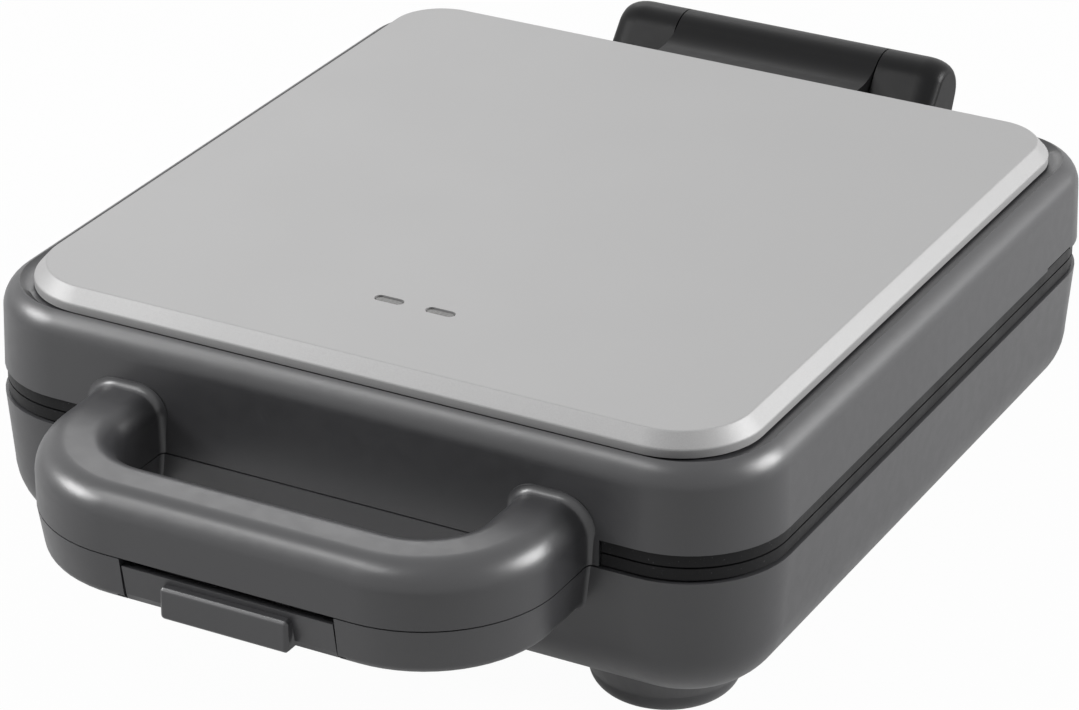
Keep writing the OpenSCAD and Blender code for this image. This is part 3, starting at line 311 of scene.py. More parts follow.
def drill(name, place, radius, length, axis="Z", sides=48):
    """A round cutter along an axis, centred on a place, in mm."""
    bpy.ops.object.select_all(action="DESELECT")
    turn = {"X": (0, radians(90), 0), "Y": (radians(90), 0, 0), "Z": (0, 0, 0)}[axis]
    bpy.ops.mesh.primitive_cylinder_add(vertices=sides, radius=radius * MM, depth=length * MM,
                                        location=[v * MM for v in place], rotation=turn)
    bpy.ops.object.transform_apply(location=True, rotation=True, scale=True)
    bpy.context.object.name = name
    return bpy.context.object


# %% Soft edges and handing over
EDGE_ANGLE = 30
finishes = {}


def soften(piece, width, smooth=30):
    """Round the sharp edges by width mm, so that they catch the light, and weight the normals."""
    if width:
        apply(piece, "BEVEL", width=width * MM, segments=2, limit_method="ANGLE",
              angle_limit=radians(EDGE_ANGLE), use_clamp_overlap=True)
        apply(piece, "WELD", merge_threshold=0.002 * MM)
    bpy.ops.object.select_all(action="DESELECT")
    bpy.context.view_layer.objects.active = piece
    piece.select_set(True)
    bpy.ops.object.shade_smooth_by_angle(angle=radians(smooth))
    apply(piece, "WEIGHTED_NORMAL", mode="FACE_AREA", weight=50, keep_sharp=True)


def hand_over(piece, body, node, slot):
    """Ride on the body, stand for the node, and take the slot's finish."""
    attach(piece, body)
    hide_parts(node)
    spots = [v.co for v in piece.data.vertices]
    low = [round(min(c[i] for c in spots) / MM, 1) for i in range(3)]
    high = [round(max(c[i] for c in spots) / MM, 1) for i in range(3)]
    finishes[piece.name] = slot
    print(piece.name, "faces:", len(piece.data.polygons), "from", low, "to", high)


# %% [markdown]
# ## The lid shell
# The lid is a shallow moulded tray turned upside down: nearly upright walls, a 10 mm round along the
# top edge, then a thin rim, a ledge sloping down, a narrow groove and a raised deck for the panel.
# It could be a subdivision cage, but exact rings make the fillet and the rim concentric and keep the
# walls straight. The outer skin is drawn as one surface and Solidify gives it its wall. The groove's
# outline has other proportions than the rim's, so that ring is resized to it instead of inset.

# %% Lid skin
HOUSING_W, HOUSING_D, WALL = 280, 288, 2.8
PANEL_W, PANEL_D, PANEL_GAP = 258, 270.4, 1.2
LID_W, LID_D, LID_Z = 279.45, 287.45, 77.0
LID_FRONT_R, LID_REAR_R = 34.7, 27.7
LID_WALL = (0.59, 19.7)
TOP_EDGE_R, TOP_EDGE_TURN = 10, 62.84
RIM_IN, RIM_STEPS = 6.3, [(0.35, 0.02), (0.3, -0.25)]
LEDGE_DROP, GROOVE_FLOOR, DECK_RISE = 1.35, [(6.0, 0), (1.2, 0)], 6.8

lid_shell = rounded_outline("lid_shell", LID_W, LID_D, LID_FRONT_R, LID_REAR_R, LID_Z)
raise_rings([LID_WALL] + fillet_steps(TOP_EDGE_R, 0, TOP_EDGE_TURN, 9))
raise_rings(RIM_STEPS)
move_up(-LEDGE_DROP)
rim_inside = RIM_IN + sum(inward for inward, along in RIM_STEPS)
groove_share = ((PANEL_W + 2 * PANEL_GAP) / (HOUSING_W - 2 * rim_inside),
                (PANEL_D + 2 * PANEL_GAP) / (HOUSING_D - 2 * rim_inside), 1)
bpy.ops.transform.resize(value=groove_share, center_override=(0, MID_Y, 0))
raise_rings(GROOVE_FLOOR)
move_up(DECK_RISE)
pick("FACE", lambda c, f: c.z < (LID_Z + 0.1) * MM)
bpy.ops.mesh.delete(type="FACE")
apply(lid_shell, "SOLIDIFY", thickness=WALL * MM, offset=-1, use_even_offset=True)
print("lid wall made, faces:", len(lid_shell.data.polygons))

# %% [markdown]
# ## The front skirt
# Between the handle's roots the lid's wall reaches down to the parting line and hides the plates. It
# could be a piece of its own, but then a seam would show. Two cuts across the wall mark off its
# stretch instead, and the faces of the wall's lower edge are drawn down from there.

# %% Front skirt
SKIRT_HALF, SKIRT_Z = 92.5, 67.9

bpy.ops.object.mode_set(mode="EDIT")
for side in (-1, 1):
    bpy.ops.mesh.select_all(action="SELECT")
    bpy.ops.mesh.bisect(plane_co=(side * SKIRT_HALF * MM, 0, 0), plane_no=(1, 0, 0))
picked = pick("FACE", lambda c, f: c.z < (LID_Z + 0.05) * MM and f.normal.z < -0.9
              and abs(c.x) < (SKIRT_HALF - 0.5) * MM and c.y < -0.1)
move_up(SKIRT_Z - LID_Z)
bpy.ops.object.mode_set(mode="OBJECT")
print("skirt drawn down from", picked, "faces")

# %% [markdown]
# ## Openings in the lid
# Each lamp shines through a window with round ends, and a low notch at the back of each side lets
# steam out. Openings could be built into the mesh, but there they would upset its even rings. A
# cutter taken out by a boolean leaves the rest alone. A window's cutter is a plane whose corners are
# turned to full arcs, drawn up to a pill.

# %% Lamp windows
LENS_FLANGE, WINDOW_LOW, WINDOW_HIGH = 2, 106, 113


def pill(name, node, gap):
    """A cutter round a lens, gap mm wider all round than the face that stands on its flange.

    The corners' radius is just under half the width, which leaves each end a full arc.
    """
    a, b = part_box(node)
    extra = 2 * gap - 2 * LENS_FLANGE
    length, width = (b[0] - a[0]) / MM + extra, (b[1] - a[1]) / MM + extra
    piece = new_piece(name)
    bpy.ops.transform.resize(value=(length * MM, width * MM, 1))
    pick("VERT", lambda c, v: True)
    bpy.ops.mesh.bevel(offset=width * 0.499 * MM, segments=10, affect="VERTICES",
                       clamp_overlap=False)
    bpy.ops.mesh.select_all(action="SELECT")
    bpy.ops.transform.translate(value=((a[0] + b[0]) / 2, (a[1] + b[1]) / 2, WINDOW_LOW * MM))
    move_up(WINDOW_HIGH - WINDOW_LOW)
    bpy.ops.mesh.select_all(action="SELECT")
    bpy.ops.mesh.normals_make_consistent(inside=False)
    bpy.ops.object.mode_set(mode="OBJECT")
    return piece


def cut_windows(piece, gap):
    """Cut both lamp windows out of a piece."""
    cut_away(piece, pill("window_left", "power_lens", gap), pill("window_right", "ready_lens", gap))


cut_windows(lid_shell, 0.3)
print("windows cut through the deck, faces:", len(lid_shell.data.polygons))

# %% Steam notches
NOTCH_FROM_Y, NOTCH_TO_Y, NOTCH_H = 95, 115, 0.9
NOTCH_X, NOTCH_DEPTH = 139, 6

for side in (-1, 1):
    low = (side * NOTCH_X - NOTCH_DEPTH, MID_Y / MM + NOTCH_FROM_Y, LID_Z - 1)
    high = (side * NOTCH_X + NOTCH_DEPTH, MID_Y / MM + NOTCH_TO_Y, LID_Z + NOTCH_H)
    cut_away(lid_shell, block("steam_notch", low, high))
soften(lid_shell, width=0.45)
hand_over(lid_shell, "lid", "upper_housing", "charcoal_plastic")

# %% [markdown]
# ## The base shell
# The base is the same tray the right way up, with a far larger round underneath, so it seems to float
# on its feet. It could be the lid's mesh turned over, but its rounds and its lean are its own, so it is
# drawn anew. The outline starts at the top edge, faces down, and the same rings run downwards.

# %% Base skin
BASE_FRONT_R, BASE_REAR_R, BASE_Z = 35, 30, 67.5
BASE_WALL = (1.88, 23.5)
BOTTOM_EDGE_R = 24.8

base_shell = rounded_outline("base_shell", HOUSING_W, HOUSING_D, BASE_FRONT_R, BASE_REAR_R, BASE_Z,
                             facing=-1)
raise_rings([BASE_WALL] + fillet_steps(BOTTOM_EDGE_R, 0, 90, 14))
pick("FACE", lambda c, f: c.z > (BASE_Z - 0.1) * MM)
bpy.ops.mesh.delete(type="FACE")
apply(base_shell, "SOLIDIFY", thickness=WALL * MM, offset=-1, use_even_offset=True)
print("base wall made, faces:", len(base_shell.data.polygons))

# %% [markdown]
# ## Openings in the base
# Four screws come up through the bottom and hold the housing to its posts, and the cord's bush sits
# in a round hole in the rear wall. The holes could be drilled at measured places, but taken from the
# screws and the bush they can't drift apart. The box round all four screws ends at their heads, so
# each hole lies one head's radius inside its corners.

# %% Base openings
SCREW_HEAD_R, SCREW_HOLE_R, BOTTOM_Z = 4.2, 4.25, 20
INLET_R, REAR_WALL_Y = 6.1, 142

low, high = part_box("base_screws")
post_x = (high[0] - low[0]) / 2 / MM - SCREW_HEAD_R
post_y = (high[1] - low[1]) / 2 / MM - SCREW_HEAD_R
for side in (-1, 1):
    for end in (-1, 1):
        spot = (side * post_x, MID_Y / MM + end * post_y, BOTTOM_Z)
        cut_away(base_shell, drill("screw_hole", spot, SCREW_HOLE_R, length=8))
low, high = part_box("cord_bush")
inlet = ((low[0] + high[0]) / 2 / MM, MID_Y / MM + REAR_WALL_Y, (low[2] + high[2]) / 2 / MM)
cut_away(base_shell, drill("inlet_hole", inlet, INLET_R, length=12, axis="Y"))
soften(base_shell, width=0.4)
hand_over(base_shell, "base", "lower_housing", "charcoal_plastic")

# %% [markdown]
# ## The handle halves
# The handle is one U-shaped bar, split along the parting line: the upper half belongs to the lid, the
# lower half to the base. A curve with a bevel profile would pinch at the corners, so the section is
# drawn once, open on its hidden side, and swept by hand: extruded along the front, spun a quarter turn
# round the corner, extruded to the wall and flared there. A mirror gives the other arm, and Solidify
# makes the bar hollow.

# %% The bar's section
HAND_Y, CORNER, ARM_X, BAR = -208.0, 45.0, 89.0, 25.5
SECTION_Y = MID_Y + (HAND_Y + BAR / 2) * MM


def section(name, z0, z1):
    """The bar's rectangular section in the plane x = 0, in edit mode."""
    bpy.ops.object.select_all(action="DESELECT")
    bpy.ops.mesh.primitive_plane_add(size=1, rotation=(radians(90), 0, radians(90)))
    piece = bpy.context.object
    piece.name = piece.data.name = name
    bpy.ops.object.transform_apply(location=False, rotation=True, scale=False)
    bpy.ops.object.mode_set(mode="EDIT")
    bpy.ops.mesh.select_all(action="SELECT")
    bpy.ops.transform.resize(value=(1, BAR * MM, (z1 - z0) * MM))
    bpy.ops.transform.translate(value=(0, SECTION_Y, (z0 + z1) / 2 * MM))
    return piece


# %% Flare the bar's root
FLARE_REACH, FLARE_GROW, ROOT_DEPTH = 2.7, 2.3, 1.5
FLARE_TURNS = (0, 18, 36, 54, 70, 84, 90)


def flare_root(fixed_z, height, wall_y, lean):
    """Widen the bar's open end in a quarter round, up to a wall that leans by lean degrees."""
    middle_x = (ARM_X - BAR / 2) * MM
    at, last = HAND_Y + CORNER, 0
    for turn in FLARE_TURNS:
        y = wall_y - FLARE_REACH * (1 - sin(radians(turn)))
        share = 1 - cos(radians(turn))
        bpy.ops.mesh.extrude_region_move(TRANSFORM_OT_translate={"value": (0, (y - at) * MM, 0)})
        wide = (BAR + 2 * FLARE_GROW * share) / (BAR + 2 * FLARE_GROW * last)
        tall = (height + FLARE_GROW * share) / (height + FLARE_GROW * last)
        bpy.ops.transform.resize(value=(wide, 1, tall),
                                 center_override=(middle_x, 0, fixed_z * MM))
        if turn == 0:
            bpy.ops.transform.rotate(value=radians(lean), orient_axis="X",
                                     center_override=(middle_x, MID_Y + y * MM, fixed_z * MM))
        at, last = y, share
    bpy.ops.mesh.extrude_region_move(TRANSFORM_OT_translate={"value": (0, ROOT_DEPTH * MM, 0)})


# %% Sweep the bar
def sweep_bar(piece, fixed_z, height, wall_y, lean):
    """Take the open section along half the handle, flare its root, mirror it and wall it."""
    turn_x, turn_y = (ARM_X - CORNER) * MM, MID_Y + (HAND_Y + CORNER) * MM
    bpy.ops.mesh.select_all(action="SELECT")
    bpy.ops.mesh.extrude_region_move(TRANSFORM_OT_translate={"value": (turn_x, 0, 0)})
    bpy.ops.mesh.spin(steps=16, angle=radians(-90), axis=(0, 0, 1), center=(turn_x, turn_y, 0))
    flare_root(fixed_z, height, wall_y, lean)
    ring = [v.co / MM for v in bmesh.from_edit_mesh(piece.data).verts if v.select]
    print(piece.name, "root y at its lowest and highest:", round(min(ring, key=lambda c: c.z).y, 2),
          round(max(ring, key=lambda c: c.z).y, 2))
    bpy.ops.mesh.select_all(action="SELECT")
    bpy.ops.mesh.remove_doubles(threshold=0.01 * MM)
    apply(piece, "MIRROR", use_mirror_merge=True, merge_threshold=0.02 * MM)
    bpy.ops.object.mode_set(mode="EDIT")
    bpy.ops.mesh.select_all(action="SELECT")
    bpy.ops.mesh.normals_make_consistent(inside=False)
    bpy.ops.object.mode_set(mode="OBJECT")
    outward = sum(p.normal.z * (p.center.z / MM - fixed_z) * p.area for p in piece.data.polygons)
    if outward < 0:
        bpy.ops.object.mode_set(mode="EDIT")
        bpy.ops.mesh.flip_normals()
    apply(piece, "SOLIDIFY", thickness=WALL * MM, offset=-1, use_even_offset=True)


# %% Upper half
UPPER_TOP, UPPER_FRONT_R, UPPER_REAR_R = 88, 10, 8
UPPER_ROOT_Y, UPPER_LEAN = -143.4, -1.7

lid_handle = section("lid_handle", SKIRT_Z, UPPER_TOP)
for side, radius in ((-1, UPPER_FRONT_R), (1, UPPER_REAR_R)):
    pick("VERT", lambda c, v: c.z > 80 * MM and (c.y - SECTION_Y) * side > 12 * MM)
    bpy.ops.mesh.bevel(offset=radius * MM, segments=9, affect="VERTICES", clamp_overlap=False)
pick("EDGE", lambda c, e: c.z < (SKIRT_Z + 0.1) * MM)
bpy.ops.mesh.delete(type="EDGE")
sweep_bar(lid_handle, SKIRT_Z, UPPER_TOP - SKIRT_Z, UPPER_ROOT_Y, UPPER_LEAN)
soften(lid_handle, width=0.4)
hand_over(lid_handle, "lid", "upper_housing", "charcoal_plastic")

# %% Lower half
LOWER_BOTTOM, LOWER_TAPER, LOWER_EDGE_R = 51.5, 4.8, 3.2
LOWER_ROOT_Y, LOWER_LEAN = -143.5, -4.6

base_handle = section("base_handle", LOWER_BOTTOM, BASE_Z)
pick("VERT", lambda c, v: c.z < (LOWER_BOTTOM + 0.5) * MM)
bpy.ops.transform.resize(value=(1, (BAR - LOWER_TAPER) / BAR, 1),
                         center_override=(0, SECTION_Y, 0))
bpy.ops.mesh.bevel(offset=LOWER_EDGE_R * MM, segments=5, affect="VERTICES", clamp_overlap=False)
pick("EDGE", lambda c, e: c.z > (BASE_Z - 0.1) * MM)
bpy.ops.mesh.delete(type="EDGE")
sweep_bar(base_handle, BASE_Z, BASE_Z - LOWER_BOTTOM, LOWER_ROOT_Y, LOWER_LEAN)
print("lower bar swept, faces:", len(base_handle.data.polygons))

# %% [markdown]
# ## The latch's seat
# The pull latch hangs in a window in the front of the lower bar, on a pin between two ribs. The window
# is cut out of the finished bar, as a moulder would leave it open. The ribs are plain blocks, drilled
# for the pin and joined on, so that bar and ribs stay one moulded piece.

# %% Latch window and ribs
WINDOW_HALF, WINDOW_DEPTH = 37.8, 7.6
RIB_X, RIB_T = 39.05, 2.5
RIB_FRONT, RIB_BACK, RIB_BOTTOM, RIB_TOP = -196.5, -184.5, 53.2, 65.4
PIN_BACK, PIN_Z, PIN_HOLE_R = -190.3, 62, 1.6

# The ribs and the pin are placed from the origin, as the latch is. The window's cutter reaches past
# the bar in front, above and below.
front = MID_Y / MM + HAND_Y
cut_away(base_handle, block("latch_window", (-WINDOW_HALF, front - 3, 45),
                            (WINDOW_HALF, front + WINDOW_DEPTH, 70)))
for side in (-1, 1):
    rib = block("rib", (side * RIB_X - RIB_T / 2, RIB_FRONT, RIB_BOTTOM),
                (side * RIB_X + RIB_T / 2, RIB_BACK, RIB_TOP))
    cut_away(rib, drill("pin_hole", (side * RIB_X, PIN_BACK, PIN_Z), PIN_HOLE_R, length=6,
                        axis="X"))
    join_on(base_handle, rib)
soften(base_handle, width=0.4)
hand_over(base_handle, "base", "lower_housing", "charcoal_plastic")

# %% [markdown]
# ## The top panel
# A pressed cover with a wide chamfer. It could be cut from a block, but a pressing has one thickness
# all over, which two rings and Solidify give at once. The crease between flat and chamfer is what the
# eye reads, so it gets a very small round: wide enough to hold a line of light, narrow enough to stay
# a crease.

# %% Panel
PANEL_FRONT_R, PANEL_REAR_R, PANEL_Z = 28, 22, 104.7
PANEL_SIDE, CHAMFER, CREASE_R, SHEET = (0, 2.8), (4.0, 4.5), 0.45, 1.2

panel = rounded_outline("panel_cover", PANEL_W, PANEL_D, PANEL_FRONT_R, PANEL_REAR_R, PANEL_Z,
                        arc=20)
raise_rings([PANEL_SIDE, CHAMFER])
pick("FACE", lambda c, f: c.z < (PANEL_Z + 0.1) * MM)
bpy.ops.mesh.delete(type="FACE")
apply(panel, "BEVEL", width=CREASE_R * MM, segments=3, limit_method="ANGLE",
      angle_limit=radians(25))
apply(panel, "SOLIDIFY", thickness=SHEET * MM, offset=-1, use_even_offset=True)
cut_windows(panel, 0.35)
soften(panel, width=0)
hand_over(panel, "lid", "top_panel", "silver_panel")

# %% [markdown]
# ## Small moulded parts
# The hinge's knuckles, the feet, the cooking plates and the lamps' lenses already have their true
# shape in the construction. What they lack is the small round that every moulded or cast edge has,
# and without which an edge never catches the light. Modelling them again would gain nothing more, so
# a merged copy of each gets its round from a bevel.

# %% Merged copies
def merged_copy(node, name):
    """A copy of a construction solid as one closed mesh of flat faces."""
    bpy.ops.object.select_all(action="DESELECT")
    source = frame["nodes"][node]
    source.hide_set(False)
    source.select_set(True)
    bpy.context.view_layer.objects.active = source
    bpy.ops.object.duplicate()
    piece = bpy.context.object
    piece.name = piece.data.name = name
    bpy.ops.object.mode_set(mode="EDIT")
    bpy.ops.mesh.select_all(action="SELECT")
    bpy.ops.mesh.remove_doubles(threshold=0.005 * MM)
    bpy.ops.mesh.dissolve_limited(angle_limit=radians(0.5))
    bpy.ops.object.mode_set(mode="OBJECT")
    return piece


def soft_copy(node, name, body, slot, width):
    """A merged copy with its edges rounded by width mm, in place of the node."""
    piece = merged_copy(node, name)
    soften(piece, width=width, smooth=32)
    hand_over(piece, body, node, slot)


for side in ("left", "right"):
    soft_copy("hinge_bracket_" + side, "knuckle_" + side, "base", "black_plastic", 0.4)
for corner in ("front_left", "front_right", "rear_left", "rear_right"):
    soft_copy("foot_" + corner, "soft_foot_" + corner, "base", "charcoal_plastic", 0.5)
soft_copy("lower_plate", "lower_waffle_plate", "base", "coated_plate", 0.5)
soft_copy("upper_plate", "upper_waffle_plate", "lid", "coated_plate", 0.5)
soft_copy("power_lens", "left_lens", "lid", "lens", 0.35)
soft_copy("ready_lens", "right_lens", "lid", "lens", 0.35)

# %% [markdown]
# ## The pull latch and the hinge
# Two parts need more than a small round. The latch's finger tab is moulded with full, soft edges. A
# wide bevel all over would eat up the lever's thin walls, so only the edges of the tab's face are
# picked, by place, and bevelled first. The hinge roll runs into its arm in a hollow: a block fills the
# corner between them, and a large cylinder is cut out of that, just where it touches both.

# %% Latch
TAB_FACE_DEPTH, TAB_EDGE_R = 1.2, 0.6

pull_latch = merged_copy("latch_lever", "pull_latch")
face_y = min(v.co.y for v in pull_latch.data.vertices)
bpy.ops.object.mode_set(mode="EDIT")
picked = pick("EDGE", lambda c, e: c.y < face_y + TAB_FACE_DEPTH * MM
              and e.calc_face_angle(0) > radians(25))
bpy.ops.mesh.bevel(offset=TAB_EDGE_R * MM, segments=4, affect="EDGES", clamp_overlap=True)
print("tab edges rounded:", picked)
soften(pull_latch, width=0.3)
hand_over(pull_latch, "latch", "latch_lever", "charcoal_plastic")

# %% Where the hollow touches roll and arm
HOLLOW_R, ROLL_R, ARM_RISE, ARM_HALF = 20.0, 12.0, 5.2, 40

roll_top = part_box("hinge_barrel")[1]
axis_y, axis_z = roll_top[1] / MM - ROLL_R, roll_top[2] / MM - ROLL_R
arm_top = axis_z + ARM_RISE
hollow_z = arm_top + HOLLOW_R
hollow_y = axis_y - ((HOLLOW_R + ROLL_R) ** 2 - (hollow_z - axis_z) ** 2) ** 0.5
touch_y = axis_y + (hollow_y - axis_y) * ROLL_R / (HOLLOW_R + ROLL_R)
touch_z = axis_z + (hollow_z - axis_z) * ROLL_R / (HOLLOW_R + ROLL_R)
print("the hollow meets the roll at y, z:", round(touch_y, 2), round(touch_z, 2))

# %% Hinge roll
hinge_roll = merged_copy("hinge_barrel", "hinge_roll")
filler = block("filler", (-ARM_HALF, hollow_y, arm_top - 0.5), (ARM_HALF, touch_y + 1.5, touch_z))
cut_away(filler, drill("hollow", (0, hollow_y, hollow_z), HOLLOW_R, length=90, axis="X",
                       sides=128))
join_on(hinge_roll, filler)
bpy.ops.object.mode_set(mode="EDIT")
bpy.ops.mesh.select_all(action="SELECT")
bpy.ops.mesh.remove_doubles(threshold=0.04 * MM)
bpy.ops.object.mode_set(mode="OBJECT")
soften(hinge_roll, width=0.35)
hand_over(hinge_roll, "lid", "hinge_barrel", "black_plastic")

# %% [markdown]
# ## Materials
# No surface is one flat colour. Each material below starts from the finish of the real part: how it
# was moulded, plated, sprayed or woven. Pictures of such surfaces would show seams and need unwrapped
# meshes. Noise on Object coordinates needs neither, so a pattern has its true size in millimetres and
# stays put when the piece moves. A few small helpers keep it short.

# %% Noise, ranges and colours
def grain_of(tree, size, detail=2.0, stretch=(1, 1, 1)):
    """Noise with spots about size mm across, longer along an axis whose stretch is under 1."""
    where = add_node(tree, "TexCoord")
    turned = add_node(tree, "Mapping", {"Vector": where.outputs["Object"], "Scale": stretch})
    noise = add_node(tree, "TexNoise", {"Vector": turned.outputs[0], "Scale": 1000 / size,
                                        "Detail": detail})
    return noise.outputs["Fac"]


def spread(tree, value, low, high, start=0.35, end=0.65):
    """Bring the values from start to end to the range from low to high."""
    return add_node(tree, "MapRange", {"Value": value, "From Min": start, "From Max": end,
                                       "To Min": low, "To Max": high}).outputs[0]


def tint(tree, share, first, second):
    """A colour between two others."""
    return add_node(tree, "Mix", {"Factor": share, "A": (*first, 1), "B": (*second, 1)},
                    data_type="RGBA").outputs["Result"]


def darker(tone, share):
    """A tone times a share, which may be over one."""
    return tuple(round(channel * share, 4) for channel in tone)


# %% Sending patterns to a shader
def colour_by(tree, shader, share, first, second):
    """Give the shader a colour between two others."""
    tree.links.new(tint(tree, share, first, second), shader.inputs["Base Color"])


def rough_by(tree, shader, value, low, high, start=0.35, end=0.65):
    """Let the roughness follow the values, brought to the range from low to high."""
    tree.links.new(spread(tree, value, low, high, start, end), shader.inputs["Roughness"])


def dent(tree, shader, height, depth, under=None):
    """Bump the surface by depth mm, over an earlier bump if one is given."""
    inputs = {"Height": height, "Distance": depth * MM, "Strength": 1.0}
    if under:
        inputs["Normal"] = under
    bump = add_node(tree, "Bump", inputs)
    tree.links.new(bump.outputs[0], shader.inputs["Normal"])
    return bump.outputs[0]


# %% [markdown]
# ## Moulded plastic
# The shells are moulded in a steel tool whose faces were spark-eroded, which leaves a fine even grain
# that breaks up reflections. One function serves all the plastics: the fine grain is bump, a broader
# noise shifts the gloss where resin flowed unevenly, and a third, as wide as a hand, moves the tone a
# little. On the handle the gloss is a touch higher, where fingers polish it.

# %% Moulded plastic
POLISH, POLISHED_BEFORE, UNTOUCHED_BEHIND = 0.02, -0.19, -0.165


def moulded_plastic(name, tone, rough, grain=0.02, level=0.5, polish=False):
    """Plastic with a fine grain, uneven gloss, and a polished handle where asked for."""
    mat, tree, shader = new_material(name)
    shader.inputs["Specular IOR Level"].default_value = level
    broad = spread(tree, grain_of(tree, 70), 0, 1)
    colour_by(tree, shader, broad, darker(tone, 0.95), darker(tone, 1.05))
    gloss = spread(tree, grain_of(tree, 5, 4), rough - 0.02, rough + 0.02)
    if polish:
        where = add_node(tree, "TexCoord")
        split = add_node(tree, "SeparateXYZ", {0: where.outputs["Object"]})
        held = spread(tree, split.outputs["Y"], POLISH, 0, POLISHED_BEFORE, UNTOUCHED_BEHIND)
        gloss = add_node(tree, "Math", {0: gloss, 1: held}, operation="SUBTRACT").outputs[0]
    tree.links.new(gloss, shader.inputs["Roughness"])
    dent(tree, shader, grain_of(tree, 0.4, 3), grain)
    return mat


by_slot = {
    "charcoal_plastic": moulded_plastic("charcoal_plastic", (0.04, 0.04, 0.0425), 0.35,
                                       level=0.75, polish=True),
    "black_plastic": moulded_plastic("black_plastic", (0.006, 0.006, 0.0064), 0.36, level=0.15),
    "white_plastic": moulded_plastic("white_plastic", (0.74, 0.72, 0.67), 0.45, grain=0.05),
}
print("plastics:", list(by_slot))

# %% [markdown]
# ## Sprayed panel
# The panel is sprayed silver over a pressing. Such paint holds tiny flakes of aluminium under a thin
# satin coat: part of it mirrors, part is plain pigment. The flakes are a very fine noise in tone and
# bump, the gloss drifts a little from side to side, and the spray's faint orange peel is a wider,
# shallow bump.

# %% Sprayed panel
panel_mat, tree, shader = new_material("silver_panel")
shader.inputs["Metallic"].default_value = 0.2
flakes = spread(tree, grain_of(tree, 0.25, 1), 0, 1)
colour_by(tree, shader, flakes, (0.345, 0.343, 0.343), (0.385, 0.383, 0.383))
rough_by(tree, shader, grain_of(tree, 40, 3), 0.5, 0.52)
peel = dent(tree, shader, grain_of(tree, 3, 2), 0.02)
dent(tree, shader, grain_of(tree, 0.3, 1), 0.006, under=peel)
by_slot["silver_panel"] = panel_mat
print("panel sprayed with", panel_mat.name)

# %% [markdown]
# ## Coated plates
# The cooking plates are cast aluminium with a baked non-stick coat. It is nearly black, satin rather
# than gloss, a little pebbled by the cast metal below, and carries fine pale specks of filler. The
# specks are the peaks of a fine noise. Oil leaves some patches smoother than others.

# %% Coated plates
plate_mat, tree, shader = new_material("coated_plate")
shader.inputs["Specular IOR Level"].default_value = 0.15
specks = spread(tree, grain_of(tree, 0.7, 1), 0, 1, 0.7, 0.78)
colour_by(tree, shader, specks, (0.011, 0.011, 0.0115), (0.05, 0.05, 0.052))
rough_by(tree, shader, grain_of(tree, 18, 4), 0.34, 0.5)
cast = dent(tree, shader, grain_of(tree, 2.2, 3), 0.05)
dent(tree, shader, grain_of(tree, 0.5, 2), 0.012, under=cast)
by_slot["coated_plate"] = plate_mat
print("plates coated with", plate_mat.name)

# %% [markdown]
# ## Lamp lenses and lamps
# The lenses are clear plastic, frosted inside by fine ribs so that the small lamp below lights them
# evenly. Unlit, they look grey and satin. A wave pattern gives the ribs, in tone and in bump. The neon
# lamps are glass, partly clear, and their warm orange is a painted glow: the colour of the gas's glow,
# painted into the glass, which gives no light.

# %% Lenses
lens_mat, tree, shader = new_material("frosted_lens")
shader.inputs["Specular IOR Level"].default_value = 0.3
where = add_node(tree, "TexCoord")
ribs = add_node(tree, "TexWave", {"Vector": where.outputs["Object"], "Scale": 190, "Distortion": 0},
                wave_type="BANDS", bands_direction="X", wave_profile="SIN")
colour_by(tree, shader, ribs.outputs["Fac"], (0.07, 0.069, 0.066), (0.095, 0.093, 0.09))
rough_by(tree, shader, grain_of(tree, 3, 3), 0.24, 0.3)
dent(tree, shader, ribs.outputs["Fac"], 0.01)
by_slot["lens"] = lens_mat

# %% Neon lamps
neon_mat, tree, shader = new_material("neon_glass")
shader.inputs["Transmission Weight"].default_value = 0.55
painted_glow_patches = spread(tree, grain_of(tree, 4), 0, 1)
# The warm orange is a painted glow, in patches from a noise.
colour_by(tree, shader, painted_glow_patches, (0.8, 0.36, 0.16), (0.9, 0.5, 0.26))
rough_by(tree, shader, grain_of(tree, 2), 0.05, 0.12)
dent(tree, shader, grain_of(tree, 2.5), 0.03)
by_slot["neon"] = neon_mat
print("lenses and lamps:", lens_mat.name, neon_mat.name)

# %% [markdown]
# ## Bare and plated metal
# Inside are sheet metal, screws, pins and springs. Rolled and turned metal carries fine marks along
# one direction, which a noise stretched along that axis gives. Patches of a second tone are the
# tarnish on brass and the bluish scale that heat leaves on the rods. Zinc-coated sheet shows spangle,
# the crystals of the coat, as flat cells of slightly different brightness: a Voronoi pattern.

# %% Metals
def worked_metal(name, tone, rough, lines=(0.05, 1, 1), stain=None, amount=0.3, metallic=1.0):
    """Metal with fine marks along one axis, and patches of a second tone."""
    mat, tree, shader = new_material(name)
    shader.inputs["Metallic"].default_value = metallic
    marks = grain_of(tree, 0.5, 3, lines)
    patches = spread(tree, grain_of(tree, 11, 5), 0, amount, 0.4, 0.7)
    base = tint(tree, spread(tree, marks, 0, 1), darker(tone, 0.9), darker(tone, 1.08))
    stain_tone = (*(stain or darker(tone, 0.5)), 1)
    worn = add_node(tree, "Mix", {"Factor": patches, "A": base, "B": stain_tone},
                    data_type="RGBA")
    tree.links.new(worn.outputs["Result"], shader.inputs["Base Color"])
    rough_by(tree, shader, grain_of(tree, 1.5, 4), rough - 0.07, rough + 0.09)
    dent(tree, shader, marks, 0.012)
    return mat


